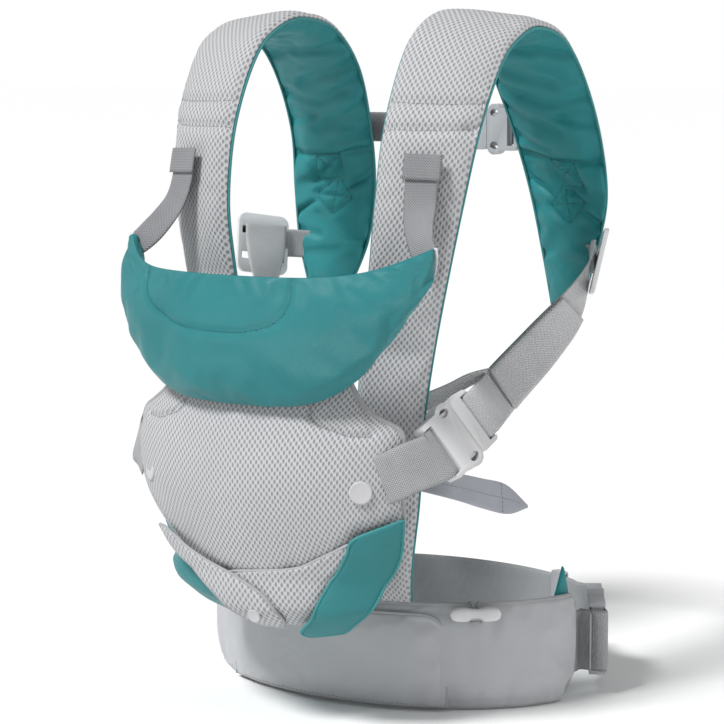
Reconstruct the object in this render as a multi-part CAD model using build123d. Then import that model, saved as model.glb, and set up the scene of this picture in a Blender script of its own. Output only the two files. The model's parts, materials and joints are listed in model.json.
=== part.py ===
from build123d import *

import math
import os

# A soft structured baby carrier. Millimetres. +Z up, the baby side faces -Y, and
# the wearer's left is +X. The origin is the centre of the waist loop, on the plane
# of the belt's lower edge. Names ending in _left are on the wearer's left.

# ---- driving dimensions -------------------------------------------------------
GAP = 0.3
SKIN = 1.2
WEBBING_THICK = 1.4

BELT_HEIGHT = 84.0
BELT_HALF_WIDTH = 164.0
BELT_HALF_DEPTH = 124.0
BELT_FOAM_HALF = 4.6
BELT_PAD_END = 5.0
BELT_FRONT_PAD_EDGE = 53.0
FRONT_PAD_THICK = 3.0

WAIST_WEBBING = 50.0
WAIST_WEBBING_Z = 45.0
WAIST_BUCKLE_AT = -24.0

SIDE_WEBBING = 38.0
TETHER_WEBBING = 26.0
BACK_WEBBING = 25.0
STAY_WEBBING = 20.0

STRAP_EDGE_HALF = 1.4
STRAP_MIDDLE_HALF = 4.6
STRAP_STATIONS = 40

BUTTON_RADIUS = 9.75
BUTTON_THICK = 2.4
BUTTON_ANGLE = 47.0
BUTTON_HEIGHT = 191.0

# Both edges of the strap on the wearer's left, from the belt, over the shoulder,
# down to the tip behind the shoulder blade.
STRAP_INNER_EDGE = [
    (42, -120, 84.4), (43, -141, 150), (48, -151, 220), (55, -155, 290), (64, -158, 350),
    (69, -158, 400), (70, -146, 460), (69, -116, 515), (66, -80, 538), (65, -45, 541),
    (65, -8, 531), (64, 24, 500), (70, 51, 450), (77, 68, 400), (87, 72, 350), (102, 62, 306),
]
STRAP_OUTER_EDGE = [
    (94, -106, 84.4), (103, -128, 150), (111, -137, 220), (119, -138, 290), (127, -139, 350),
    (135, -138, 400), (142, -125, 460), (145, -98, 508), (147, -70, 528), (147, -42, 533),
    (148, -5, 523), (149, 26, 492), (151, 50, 445), (153, 58, 395), (146, 54, 350), (134, 52, 308),
]

# The baby pouch is a stack of half ellipses: height, half width, depth, and the Y of
# the centre, then the angle at which the side edge stops.
PANEL_RINGS = [
    (118.6, 125, 88, -140, 27), (130, 129, 90, -141, 28), (160, 138, 94, -146, 30),
    (185, 141, 96, -149, 31), (210, 142, 95, -150, 31), (233, 139, 91, -150, 31),
    (244, 134, 88, -150, 39), (255, 129, 84, -150, 45), (277, 118, 77, -150, 50),
]
PANEL_PAD = 4.0

# Below the pouch the seat fans down about one line across the carrier: angle below
# the horizontal, half width, depth.
TAB_LIFT = 2.3
SEAT_AXIS_Y = -140.0
SEAT_AXIS_Z = 118.0
SEAT_FAN = [
    (0.0, 125, 88), (15, 124, 87), (30, 113, 75), (45, 100, 55), (60, 90, 44), (78, 82, 36),
]

HEAD_HALF_WIDTH = 141.0
HEAD_DEPTH = 93.0
HEAD_CENTRE_Y = -152.0
HEAD_END_ANGLE = 20.0
HEAD_TOP = 349.0
HEAD_BOTTOM = 252.0
HORN_TOP = 371.0
HORN_BOTTOM = 347.0
HEAD_FOAM_HALF = 6.5


# ---- curves and lofts -----------------------------------------------------------
def through(points, count):
    """Places on a smooth curve that passes through every given point."""
    last = len(points) - 1
    places = []
    for step in range(count):
        at = step * last / (count - 1)
        first = min(int(at), last - 1)
        share = at - first
        four = (points[max(first - 1, 0)], points[first], points[first + 1], points[min(first + 2, last)])
        place = []
        for before, start, end, after in zip(*four):
            bend = 2 * before - 5 * start + 4 * end - after
            twist = 3 * start - before - 3 * end + after
            place.append(start + 0.5 * ((end - before) * share + bend * share**2 + twist * share**3))
        places.append(tuple(place))
    return places


def shell(rows, low, high):
    """A ruled loft. Each row lists (place, outward direction); low and high give the
    offsets of the two faces as functions of the share across the row."""
    outlines = []
    for row in rows:
        last = len(row) - 1
        inner = [place + out * low(i / last) for i, (place, out) in enumerate(row)]
        outer = [place + out * high(i / last) for i, (place, out) in enumerate(row)]
        outlines.append(Wire.make_polygon(inner + outer[::-1], close=True))
    return Solid.make_loft(outlines, ruled=True)


def flat(value):
    """An offset that is the same all across a row."""
    return lambda share: value


def crown(edge, middle):
    """An offset that swells from the edges of a row to its middle."""
    return lambda share: edge + (middle - edge) * (1 - abs(2 * share - 1) ** 2.5)


def ribbon(stations, width, thick, lift=0.0):
    """Flat webbing. Each station is (place, direction across); the face direction
    follows from the run of the places."""
    rows = []
    for i, (place, across) in enumerate(stations):
        before = stations[max(i - 1, 0)][0]
        after = stations[min(i + 1, len(stations) - 1)][0]
        run = (after - before).normalized()
        out = run.cross(across).normalized()
        side = out.cross(run).normalized() * (width / 2)
        rows.append([(place - side, out), (place + side, out)])
    return shell(rows, flat(lift - thick / 2), flat(lift + thick / 2))


def blended(start, end, share):
    return (start * (1 - share) + end * share).normalized()


def other_side(solid):
    """The same piece on the wearer's right."""
    return solid.mirror(Plane.YZ)


def rounded_block(x_from, x_to, width, corner, thick):
    """A flat block with rounded corners, centred across and through its thickness."""
    outline = Pos((x_from + x_to) / 2, 0, -thick / 2) * RectangleRounded(x_to - x_from, width, corner)
    return extrude(outline, thick)


def block(x_from, x_to, y_from, y_to, z_from, z_to):
    """A plain block between two corners."""
    centre = Pos((x_from + x_to) / 2, (y_from + y_to) / 2, (z_from + z_to) / 2)
    return centre * Box(x_to - x_from, y_to - y_from, z_to - z_from)


# ---- waist belt -------------------------------------------------------------------
def belt_place(angle, height):
    """A place on the belt's centre line and the direction away from the wearer."""
    turn = math.radians(angle)
    place = Vector(BELT_HALF_WIDTH * math.cos(turn), -BELT_HALF_DEPTH * math.sin(turn), height)
    out = Vector(math.cos(turn) / BELT_HALF_WIDTH, -math.sin(turn) / BELT_HALF_DEPTH, 0).normalized()
    return place, out


def belt_layer(start, end, low_z, high_z, low, high, count=32):
    rows = []
    for step in range(count):
        angle = start + (end - start) * step / (count - 1)
        rows.append([belt_place(angle, low_z + (high_z - low_z) * i / 4) for i in range(5)])
    return shell(rows, low, high)


def build_belt(nodes):
    start, end = BELT_PAD_END, 180 - BELT_PAD_END
    foam = crown(BELT_FOAM_HALF - 1.6, BELT_FOAM_HALF)
    nodes["belt_foam_core"] = belt_layer(start, end, 0, BELT_HEIGHT, lambda s: -foam(s), foam)
    nodes["belt_outer_cover"] = belt_layer(
        start, end, 0, BELT_HEIGHT, lambda s: foam(s) + GAP, lambda s: foam(s) + GAP + SKIN)
    nodes["belt_inner_lining"] = belt_layer(
        start, end, 0, BELT_HEIGHT, lambda s: -foam(s) - GAP - SKIN, lambda s: -foam(s) - GAP)
    cover_top = BELT_FOAM_HALF + GAP + SKIN
    nodes["belt_front_pad"] = belt_layer(
        BELT_FRONT_PAD_EDGE, 180 - BELT_FRONT_PAD_EDGE, 2, BELT_HEIGHT - 8,
        flat(cover_top + GAP), crown(cover_top + GAP + 0.8, cover_top + GAP + FRONT_PAD_THICK), 20)


def buckle_sizes(webbing):
    """Body width, thickness, socket length, plug length and arm length."""
    return webbing + 10, 6 + webbing * 0.13, 8 + webbing * 0.84, 6 + webbing * 0.47, webbing * 0.56


def side_release_socket(webbing):
    """The mouth is at X 0 and faces +X; the webbing bar is at the -X end."""
    width, thick, length, _, arm = buckle_sizes(webbing)
    body = rounded_block(-length, 0, width, 4, thick)
    for side in (-1, 1):
        lobe = Pos(-arm * 0.5, side * (width / 2 - 3), -thick / 2) * extrude(Ellipse(arm * 0.46, 6.5), thick)
        body = body + lobe
    body = body - block(-arm - 3, 1, -width / 2 + 3, width / 2 - 3, -thick / 2 + 2, thick / 2 - 2)
    for side in (-1, 1):
        window = Pos(-arm * 0.5, side * (width / 2 - 4), -thick) * extrude(Ellipse(arm * 0.28, 3.2), 2 * thick)
        body = body - window
    slot = block(-length + 4, -length + 9.5, -webbing / 2 - 1, webbing / 2 + 1, -thick, thick)
    bar_relief = block(-length - 1, -length + 4, -webbing / 2 - 1, webbing / 2 + 1, thick / 2 - 1.5, thick)
    return body - slot - bar_relief - bar_relief.mirror(Plane.XY)


def side_release_plug(webbing):
    """The plug for the socket above, pushed home, with its webbing bar at the +X end."""
    width, thick, _, length, arm = buckle_sizes(webbing)
    body = rounded_block(0.4, length, width - 1, 4, thick)
    slot = block(length - 9.5, length - 4, -webbing / 2 - 1, webbing / 2 + 1, -thick, thick)
    bar_relief = block(length - 4, length + 1, -webbing / 2 - 1, webbing / 2 + 1, thick / 2 - 1.5, thick)
    body = body - slot - bar_relief - bar_relief.mirror(Plane.XY)
    inside = width / 2 - 3 - 0.8
    leaf = thick / 2 - 2 - 0.5
    for side in (-1, 1):
        edges = sorted((side * inside, side * (inside - 3.6)))
        head = sorted((side * inside, side * (inside - 5.5)))
        body = body + block(-arm + 6, 1, edges[0], edges[1], -leaf, leaf)
        body = body + block(-arm, -arm + 7, head[0], head[1], -leaf, leaf)
    return body + block(-arm + 6, 1, -3, 3, -leaf, leaf)


def bar_loop(frame, bar_at, toward, half_thick):
    """Webbing places that wrap a buckle bar, from the short leg to the long one."""
    clear = half_thick - 1.5 + 1.3
    steps = [
        (bar_at + toward * 14, -clear), (bar_at + toward * 1.0, -clear), (bar_at - toward * 3.2, -clear + 0.4),
        (bar_at - toward * 4.7, -clear + 2.4), (bar_at - toward * 4.7, clear - 2.4),
        (bar_at - toward * 3.2, clear - 0.4), (bar_at + toward * 1.0, clear), (bar_at + toward * 9, clear),
    ]
    return [frame.from_local_coords(Vector(along, 0, lift)) for along, lift in steps]


def build_waist_buckle(nodes):
    place, out = belt_place(WAIST_BUCKLE_AT, WAIST_WEBBING_Z)
    _, thick, socket_length, plug_length, _ = buckle_sizes(WAIST_WEBBING)
    frame = Plane(origin=place, x_dir=Vector(0, 0, 1).cross(out), z_dir=out)
    nodes["waist_buckle_socket"] = frame.location * side_release_socket(WAIST_WEBBING)
    nodes["waist_buckle_plug"] = frame.location * side_release_plug(WAIST_WEBBING)
    across = Vector(0, 0, 1)

    short = bar_loop(frame, -socket_length + 2, -1, thick / 2)
    for angle in (BELT_PAD_END - 5.5, BELT_PAD_END - 3, BELT_PAD_END - 0.4):
        short.append(belt_place(angle, WAIST_WEBBING_Z)[0])
    nodes["belt_webbing_left"] = ribbon([(p, across) for p in short], WAIST_WEBBING, WEBBING_THICK)

    long = bar_loop(frame, plug_length - 2, 1, thick / 2)
    start, end = WAIST_BUCKLE_AT - 21, -180 - BELT_PAD_END + 0.4
    for step in range(24):
        long.append(belt_place(start + (end - start) * step / 23, WAIST_WEBBING_Z)[0])
    nodes["belt_webbing_right"] = ribbon([(p, across) for p in long], WAIST_WEBBING, WEBBING_THICK)

    place, out = belt_place(WAIST_BUCKLE_AT - 34, WAIST_WEBBING_Z)
    frame = Plane(origin=place, x_dir=Vector(0, 0, 1).cross(out), z_dir=out)
    keeper = rounded_block(-8, 8, WAIST_WEBBING + 7, 2, 6.4)
    hole = block(-9, 9, -WAIST_WEBBING / 2 - 1.5, WAIST_WEBBING / 2 + 1.5, -1.8, 1.8)
    nodes["waist_webbing_keeper"] = frame.location * (keeper - hole)


# ---- shoulder straps ---------------------------------------------------------------
def strap_rows(across_count=7):
    inner = [Vector(*p) for p in through(STRAP_INNER_EDGE, STRAP_STATIONS)]
    outer = [Vector(*p) for p in through(STRAP_OUTER_EDGE, STRAP_STATIONS)]
    middle = [(a + b) * 0.5 for a, b in zip(inner, outer)]
    rows = []
    for i in range(STRAP_STATIONS):
        run = middle[min(i + 1, STRAP_STATIONS - 1)] - middle[max(i - 1, 0)]
        out = run.cross(outer[i] - inner[i]).normalized() * -1
        if i == 0:
            out = Vector(out.X, out.Y, 0).normalized()
        places = [inner[i] + (outer[i] - inner[i]) * (j / (across_count - 1)) for j in range(across_count)]
        rows.append([(place, out) for place in places])
    return rows


def build_strap(nodes):
    rows = strap_rows()
    foam = crown(STRAP_EDGE_HALF, STRAP_MIDDLE_HALF)
    layers = {
        "strap_foam": (lambda s: -foam(s), foam),
        "strap_mesh_cover": (lambda s: foam(s) + GAP, lambda s: foam(s) + GAP + SKIN),
        "strap_lining": (lambda s: -foam(s) - GAP - SKIN, lambda s: -foam(s) - GAP),
    }
    for name, (low, high) in layers.items():
        nodes[name + "_left"] = shell(rows, low, high)
        nodes[name + "_right"] = other_side(nodes[name + "_left"])


def build_back_strap(nodes):
    """The strap between the shoulder blades, with its own small buckle."""
    height, depth, mouth = 450.0, 61.5, 40.0
    _, thick, socket_length, plug_length, _ = buckle_sizes(BACK_WEBBING)
    frame = Plane(origin=(mouth, depth, height), x_dir=(-1, 0, 0), z_dir=(0, 1, 0))
    nodes["back_buckle_socket"] = frame.location * side_release_socket(BACK_WEBBING)
    nodes["back_buckle_plug"] = frame.location * side_release_plug(BACK_WEBBING)
    across = Vector(0, 0, 1)
    short = bar_loop(frame, -socket_length + 2, -1, thick / 2)[2:]
    short.append(Vector(103, depth + 0.6, height))
    nodes["back_webbing_left"] = ribbon([(p, across) for p in short], BACK_WEBBING, WEBBING_THICK)
    long = bar_loop(frame, plug_length - 2, 1, thick / 2)
    long += [Vector(-30, depth - 0.5, height), Vector(-70, depth + 0.4, height), Vector(-103, depth + 0.6, height)]
    nodes["back_webbing_right"] = ribbon([(p, across) for p in long], BACK_WEBBING, WEBBING_THICK)


# ---- baby pouch ----------------------------------------------------------------------
def panel_ring(height):
    """Half width, depth, centre Y and end angle of the pouch at a height."""
    upper = next(i for i, ring in enumerate(PANEL_RINGS) if ring[0] >= height or ring is PANEL_RINGS[-1])
    low, high = PANEL_RINGS[max(upper - 1, 0)], PANEL_RINGS[upper]
    share = 0 if low is high else (height - low[0]) / (high[0] - low[0])
    return [a + (b - a) * share for a, b in zip(low[1:], high[1:])]


def panel_place(height, angle):
    """A place on the pouch and the direction away from the baby."""
    half_width, depth, centre_y, _ = panel_ring(height)
    turn = math.radians(angle)
    place = Vector(half_width * math.cos(turn), centre_y - depth * math.sin(turn), height)
    return place, Vector(math.cos(turn) / half_width, -math.sin(turn) / depth, 0).normalized()


def build_panel(nodes):
    heights = [p[0] for p in through([(ring[0],) for ring in PANEL_RINGS], 22)]
    rows = []
    for height in heights:
        end = panel_ring(height)[3]
        rows.append([panel_place(height, end + (180 - 2 * end) * i / 16) for i in range(17)])
    pad = PANEL_PAD
    nodes["panel_mesh"] = shell(rows, flat(-SKIN), flat(0))
    nodes["panel_padding"] = shell(rows, flat(-SKIN - GAP - pad), flat(-SKIN - GAP))
    nodes["panel_lining"] = shell(rows, flat(-2 * SKIN - 2 * GAP - pad), flat(-SKIN - 2 * GAP - pad))

    place, out = panel_place(BUTTON_HEIGHT, BUTTON_ANGLE)
    frame = Plane(origin=place + out * GAP, z_dir=out)
    stud = extrude(Circle(4.0), 1.5) + Pos(0, 0, 1.5) * extrude(Circle(BUTTON_RADIUS), BUTTON_THICK)
    nodes["bib_button_left"] = frame.location * stud
    nodes["bib_button_right"] = other_side(nodes["bib_button_left"])


def seat_place(fan, angle):
    """A place on the seat bowl, and the direction away from the baby."""
    upper = next(i for i, ring in enumerate(SEAT_FAN) if ring[0] >= fan)
    low, high = SEAT_FAN[max(upper - 1, 0)], SEAT_FAN[upper]
    share = 0 if low is high else (fan - low[0]) / (high[0] - low[0])
    half_width, depth = (a + (b - a) * share for a, b in zip(low[1:], high[1:]))
    tilt, turn = math.radians(fan), math.radians(angle)
    forward = Vector(0, -math.cos(tilt), -math.sin(tilt))
    place = Vector(0, SEAT_AXIS_Y, SEAT_AXIS_Z)
    place = place + Vector(half_width * math.cos(turn), 0, 0) + forward * (depth * math.sin(turn))
    out = Vector(math.cos(turn) / half_width, 0, 0) + forward * (math.sin(turn) / depth)
    return place, out.normalized()


def pouch_place(fan, angle):
    """As seat_place, and on up the pouch for a fan below zero, 1.2 mm a degree."""
    if fan < 0:
        return panel_place(SEAT_AXIS_Z + 0.6 - 1.2 * fan, angle)
    return seat_place(fan, angle)


def cloth_on_pouch(cuts, thick):
    """Cloth lying on the pouch. Each cut gives the fan, the two end angles and the lift."""
    rows = []
    for fan, start, end, lift in cuts:
        row = [pouch_place(fan, start + (end - start) * i / 10) for i in range(11)]
        rows.append([(place + out * lift, out) for place, out in row])
    return shell(rows, flat(0), flat(thick))


def build_seat(nodes):
    rows = []
    for step in range(14):
        fan = 78 * step / 13
        end = 27 - 13 * step / 13
        rows.append([seat_place(fan, end + (180 - 2 * end) * i / 16) for i in range(17)])
    nodes["seat_base"] = shell(rows, flat(-5), flat(0))
    over, under, hang = TAB_LIFT + 3.6, TAB_LIFT, TAB_LIFT + 3.2
    nodes["seat_tab_upper"] = cloth_on_pouch([
        (-24, 127, 132, over), (-19, 122, 132, over), (-14, 118, 131, over), (-7, 108, 128, over),
        (0, 94, 124, over), (6, 84, 119, over), (12, 80, 114, over), (18, 79, 110, over),
        (25, 82, 105, over), (31, 89, 98, over)], 2.6)
    nodes["seat_tab_lower"] = cloth_on_pouch([
        (-26, 49, 52, under), (-16, 52, 62, under), (-8, 55, 72, under), (-1, 58, 98, under),
        (8, 61, 96, under), (16, 64, 90, under), (24, 68, 84, under), (30, 71, 76, under)], 2.4)
    place, out = seat_place(19, 88)
    frame = Plane(origin=place + out * (over + 5.6), z_dir=out)
    nodes["seat_tab_button"] = frame.location * extrude(Circle(6.0), 1.8)
    nodes["seat_wing_left"] = cloth_on_pouch([
        (-42, 32, 33, hang), (-31, 33, 49, hang), (-20, 35, 52, hang), (-8, 39, 55, hang + 0.2),
        (0, 42, 58, hang + 0.6), (10, 45, 62, hang + 2), (20, 48, 67, hang + 5), (28, 50, 72, hang + 8),
        (34, 52, 69, hang + 10)], 2.2)
    nodes["seat_wing_right"] = cloth_on_pouch([
        (46, 122, 154, TAB_LIFT), (56, 114, 150, TAB_LIFT), (68, 108, 146, TAB_LIFT)], 2.2)


# ---- head support -------------------------------------------------------------------------
def head_row(angle, count=9):
    """One upright section of the head support, from its lower edge to its upper one."""
    turn = math.radians(angle)
    side = abs(math.cos(turn)) / math.cos(math.radians(HEAD_END_ANGLE))
    top = HEAD_TOP + (HORN_TOP - HEAD_TOP) * side**5
    bottom = HEAD_BOTTOM + (HORN_BOTTOM - HEAD_BOTTOM) * side**4.2
    out = Vector(math.cos(turn) / HEAD_HALF_WIDTH, -math.sin(turn) / HEAD_DEPTH, 0).normalized()
    row = []
    for i in range(count):
        share = i / (count - 1)
        bulge = (6 + 8 * side**2) * math.sin(math.pi * min(share * 1.2, 1)) * (1 - side**9) - 3 * (1 - share)
        place = Vector(
            HEAD_HALF_WIDTH * math.cos(turn), HEAD_CENTRE_Y - HEAD_DEPTH * math.sin(turn),
            bottom + (top - bottom) * share)
        row.append((place + out * bulge, out))
    return row


def build_head_support(nodes):
    count = 41
    span = 180 - 2 * HEAD_END_ANGLE
    rows = [head_row(HEAD_END_ANGLE + span * i / (count - 1)) for i in range(count)]
    foam = crown(1.8, HEAD_FOAM_HALF)
    nodes["head_support_foam"] = shell(rows, lambda s: -foam(s), foam)
    nodes["head_support_cover"] = shell(rows, lambda s: foam(s) + GAP, lambda s: foam(s) + GAP + SKIN)
    nodes["head_support_lining"] = shell(rows, lambda s: -foam(s) - GAP - SKIN, lambda s: -foam(s) - GAP)


def build_tether(nodes):
    """Webbing from a patch on the front of each strap down to the head support's horn."""
    across = Vector(0.95, 0.25, 0.0).normalized()
    places = [Vector(111, -156.0, 428), Vector(111.5, -160.0, 408), Vector(113, -165, 392),
              Vector(117, -175, 380), Vector(121, -183, 376)]
    nodes["head_tether_left"] = ribbon([(p, across) for p in places], TETHER_WEBBING, WEBBING_THICK)
    patch = [Vector(111.5, -157.0, 438), Vector(111.8, -159.2, 429), Vector(112, -161.2, 419)]
    nodes["tether_patch_left"] = ribbon([(p, across) for p in patch], TETHER_WEBBING + 4, 1.6)
    place, out = head_row(24)[5]
    frame = Plane(origin=place + out * 10.5, z_dir=out)
    nodes["tether_button_left"] = frame.location * extrude(Circle(6.0), 2.5)
    for name in ("head_tether", "tether_patch", "tether_button"):
        nodes[name + "_right"] = other_side(nodes[name + "_left"])


# ---- side webbing, buckles and adjusters -----------------------------------------------------
SIDE_MOUTH = (134, -138, 230)
SIDE_ALONG = (0, 0.9305, 0.3662)
SIDE_OUT = (0.871, -0.18, 0.457)


def side_frame():
    along = Vector(*SIDE_ALONG).normalized()
    across = Vector(*SIDE_OUT).cross(along).normalized()
    return Plane(origin=SIDE_MOUTH, x_dir=along, z_dir=along.cross(across))


def side_stations():
    """Around the plug's bar, then up and back to the tip of the shoulder strap, turning
    from flat against the wearer's side to edge on at the adjuster."""
    frame = side_frame()
    _, thick, _, plug_length, _ = buckle_sizes(SIDE_WEBBING)
    far_across = Vector(0.52, -0.80, 0.16).normalized()
    run = [(128, -62, 256), (136, -19, 284), (151, 5, 315), (158, 18, 344), (160, 22, 365)]
    loop = bar_loop(frame, plug_length - 2, 1, thick / 2)
    stations = [(place, frame.y_dir) for place in loop]
    curve = through([tuple(loop[-1])] + run, 20)[1:]
    for i, place in enumerate(curve):
        share = min((i + 1) / len(curve) * 1.15, 1) ** 1.8
        stations.append((Vector(*place), blended(frame.y_dir, far_across, share)))
    return stations


def adjuster_plane():
    """The adjuster lies flat on the webbing near its upper end; X runs up the webbing."""
    stations = side_stations()
    place, spread = stations[-4]
    run_up = (stations[-3][0] - stations[-5][0]).normalized()
    out = run_up.cross(spread).normalized()
    return Plane(origin=place + out * 6.6, x_dir=run_up, z_dir=out)


def build_side(nodes):
    frame = side_frame()
    across = frame.y_dir
    _, thick, socket_length, _, _ = buckle_sizes(SIDE_WEBBING)
    nodes["side_buckle_socket_left"] = frame.location * side_release_socket(SIDE_WEBBING)
    nodes["side_buckle_plug_left"] = frame.location * side_release_plug(SIDE_WEBBING)

    # Sewn to the pouch wing, around the socket's bar and back on itself.
    sewn = bar_loop(frame, -socket_length + 2, -1, thick / 2)[2:]
    for height, angle, lift in ((209, 30, 5.5), (204, 35, 3.2), (200, 40, 2.6)):
        place, out = panel_place(height, angle)
        sewn.append(place + out * lift)
    nodes["panel_webbing_left"] = ribbon([(p, across) for p in sewn], SIDE_WEBBING, WEBBING_THICK)

    stations = side_stations()
    nodes["side_webbing_left"] = ribbon(stations, SIDE_WEBBING, WEBBING_THICK)
    nodes["side_webbing_return_left"] = ribbon(stations[-17:-8], SIDE_WEBBING, 2 * WEBBING_THICK, 3.0)

    plate = rounded_block(-26, 26, SIDE_WEBBING + 10, 8, 3.6)
    for centre in (-11, 11):
        plate = plate - block(centre - 3, centre + 3, -SIDE_WEBBING / 2 - 1, SIDE_WEBBING / 2 + 1, -5, 5)
    nodes["side_adjuster_left"] = adjuster_plane().location * plate

    stay = [Vector(101, -125, 249), Vector(106, -110, 254), Vector(110, -94, 260), Vector(113, -80, 265)]
    stay_across = Vector(-0.1, -0.3, 0.95).normalized()
    nodes["stay_strap_left"] = ribbon([(p, stay_across) for p in stay], STAY_WEBBING, 1.2)

    tail = [(Vector(112, -122, 180), 22), (Vector(121, -90, 171), 24), (Vector(128, -56, 161), 26),
            (Vector(132, -34, 153), 8)]
    rows = []
    for place, tall in tail:
        up = Vector(-0.15, 0.12, 1).normalized() * (tall / 2)
        out = Vector(0.93, -0.32, 0.18).normalized()
        rows.append([(place - up, out), (place + up, out)])
    nodes["pull_tab_left"] = shell(rows, flat(-1.0), flat(1.0))
    for name in ("side_buckle_socket", "side_buckle_plug", "panel_webbing", "side_webbing",
                 "side_webbing_return", "side_adjuster", "stay_strap", "pull_tab"):
        nodes[name + "_right"] = other_side(nodes[name + "_left"])


# ---- belt toggles -----------------------------------------------------------------------------
TOGGLE_ANGLE = 45.0
TOGGLE_HEIGHT = 79.0


def toggle_frame():
    place, out = belt_place(TOGGLE_ANGLE, TOGGLE_HEIGHT)
    return Plane(origin=place + out * 13.5, x_dir=Vector(0, 0, 1).cross(out), z_dir=out)


def build_toggle(nodes):
    frame = toggle_frame()
    body = rounded_block(-20, 20, 11, 5, 7) - block(-6, 6, -3.6, 3.6, -4, 4)
    bridge = block(-6.5, 6.5, -1.2, 1.2, 2.0, 3.4)
    nodes["belt_toggle_left"] = frame.location * (body + bridge)
    points = [(0, -0.2, 0), (0, 0.6, -4.4), (0, 3, -7.0), (0, 6, -7.5), (0, 7.6, -9.4), (0, 7.6, -12)]
    rows = []
    for along, up, lift in through(points, 9):
        centre = frame.from_local_coords(Vector(along, up, lift))
        rows.append(centre)
    side = Vector(*frame.x_dir)
    nodes["toggle_cord_left"] = ribbon([(p, side) for p in rows], 5.0, 1.8)
    for name in ("belt_toggle", "toggle_cord"):
        nodes[name + "_right"] = other_side(nodes[name + "_left"])


def build_all():
    nodes = {}
    build_belt(nodes)
    build_waist_buckle(nodes)
    build_strap(nodes)
    build_back_strap(nodes)
    build_panel(nodes)
    build_seat(nodes)
    build_head_support(nodes)
    build_tether(nodes)
    build_side(nodes)
    build_toggle(nodes)
    return nodes


def main():
    os.makedirs("parts", exist_ok=True)
    for name, shape in build_all().items():
        export_step(shape, "parts/" + name + ".step")
        print(name, round(shape.volume), shape.is_valid)


if __name__ == "__main__":
    main()
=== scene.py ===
import json
import math

import bmesh
import bpy
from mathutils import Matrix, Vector, kdtree, noise
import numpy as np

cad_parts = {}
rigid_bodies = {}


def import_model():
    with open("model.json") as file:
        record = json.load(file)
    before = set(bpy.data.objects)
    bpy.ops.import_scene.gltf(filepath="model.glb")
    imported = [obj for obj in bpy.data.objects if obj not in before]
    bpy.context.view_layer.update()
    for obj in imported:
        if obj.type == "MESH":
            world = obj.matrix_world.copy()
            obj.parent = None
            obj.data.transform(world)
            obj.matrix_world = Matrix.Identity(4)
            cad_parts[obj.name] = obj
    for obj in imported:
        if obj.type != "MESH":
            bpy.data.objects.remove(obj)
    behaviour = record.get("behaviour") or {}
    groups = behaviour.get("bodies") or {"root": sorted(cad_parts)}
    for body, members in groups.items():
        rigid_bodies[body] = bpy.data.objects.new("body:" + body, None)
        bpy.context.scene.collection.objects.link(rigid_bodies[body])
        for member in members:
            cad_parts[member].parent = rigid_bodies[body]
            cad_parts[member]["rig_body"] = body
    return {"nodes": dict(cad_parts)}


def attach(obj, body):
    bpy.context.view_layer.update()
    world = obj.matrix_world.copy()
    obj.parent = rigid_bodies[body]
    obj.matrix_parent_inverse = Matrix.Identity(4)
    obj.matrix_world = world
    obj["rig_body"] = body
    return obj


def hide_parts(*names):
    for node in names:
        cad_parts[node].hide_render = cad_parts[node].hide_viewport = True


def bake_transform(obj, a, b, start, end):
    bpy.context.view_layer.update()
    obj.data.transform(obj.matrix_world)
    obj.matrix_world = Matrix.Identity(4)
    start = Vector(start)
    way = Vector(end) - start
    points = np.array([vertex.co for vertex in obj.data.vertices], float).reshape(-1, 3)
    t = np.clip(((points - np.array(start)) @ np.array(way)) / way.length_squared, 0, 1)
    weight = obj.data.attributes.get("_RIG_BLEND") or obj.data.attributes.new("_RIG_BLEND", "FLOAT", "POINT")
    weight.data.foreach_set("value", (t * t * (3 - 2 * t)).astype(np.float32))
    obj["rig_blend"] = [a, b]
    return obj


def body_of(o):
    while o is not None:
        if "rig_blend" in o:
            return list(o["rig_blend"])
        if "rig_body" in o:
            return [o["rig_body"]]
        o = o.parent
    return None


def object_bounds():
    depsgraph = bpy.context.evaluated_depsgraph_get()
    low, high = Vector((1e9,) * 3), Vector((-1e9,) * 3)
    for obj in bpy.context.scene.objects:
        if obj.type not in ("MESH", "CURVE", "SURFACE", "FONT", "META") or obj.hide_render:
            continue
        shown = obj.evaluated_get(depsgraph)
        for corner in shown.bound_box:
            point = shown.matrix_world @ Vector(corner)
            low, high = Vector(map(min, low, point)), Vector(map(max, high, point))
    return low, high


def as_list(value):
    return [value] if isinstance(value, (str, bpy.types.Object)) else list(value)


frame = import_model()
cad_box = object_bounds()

# A soft baby carrier. Shapes are worked out in millimetres, in the CAD frame, and
# every mesh is made in metres. "Cloth coordinates" are millimetres across a piece from
# its middle and millimetres along it from its start; each mesh keeps them as its UVs.
MM = 0.001
CLOTH = "cloth"

# ---- numbers shared with the CAD part ----
GAP, WEBBING_THICK = 0.3, 1.4
BELT_HEIGHT, BELT_HALF_WIDTH, BELT_HALF_DEPTH = 84.0, 164.0, 124.0
BELT_PAD_END, BELT_FRONT_PAD_EDGE = 5.0, 53.0
WAIST_WEBBING, WAIST_WEBBING_Z, WAIST_BUCKLE_AT = 50.0, 45.0, -24.0
SIDE_WEBBING, TETHER_WEBBING, BACK_WEBBING, STAY_WEBBING = 38.0, 26.0, 25.0, 20.0
BUTTON_RADIUS, BUTTON_THICK, BUTTON_ANGLE, BUTTON_HEIGHT = 9.75, 2.4, 47.0, 191.0

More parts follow.
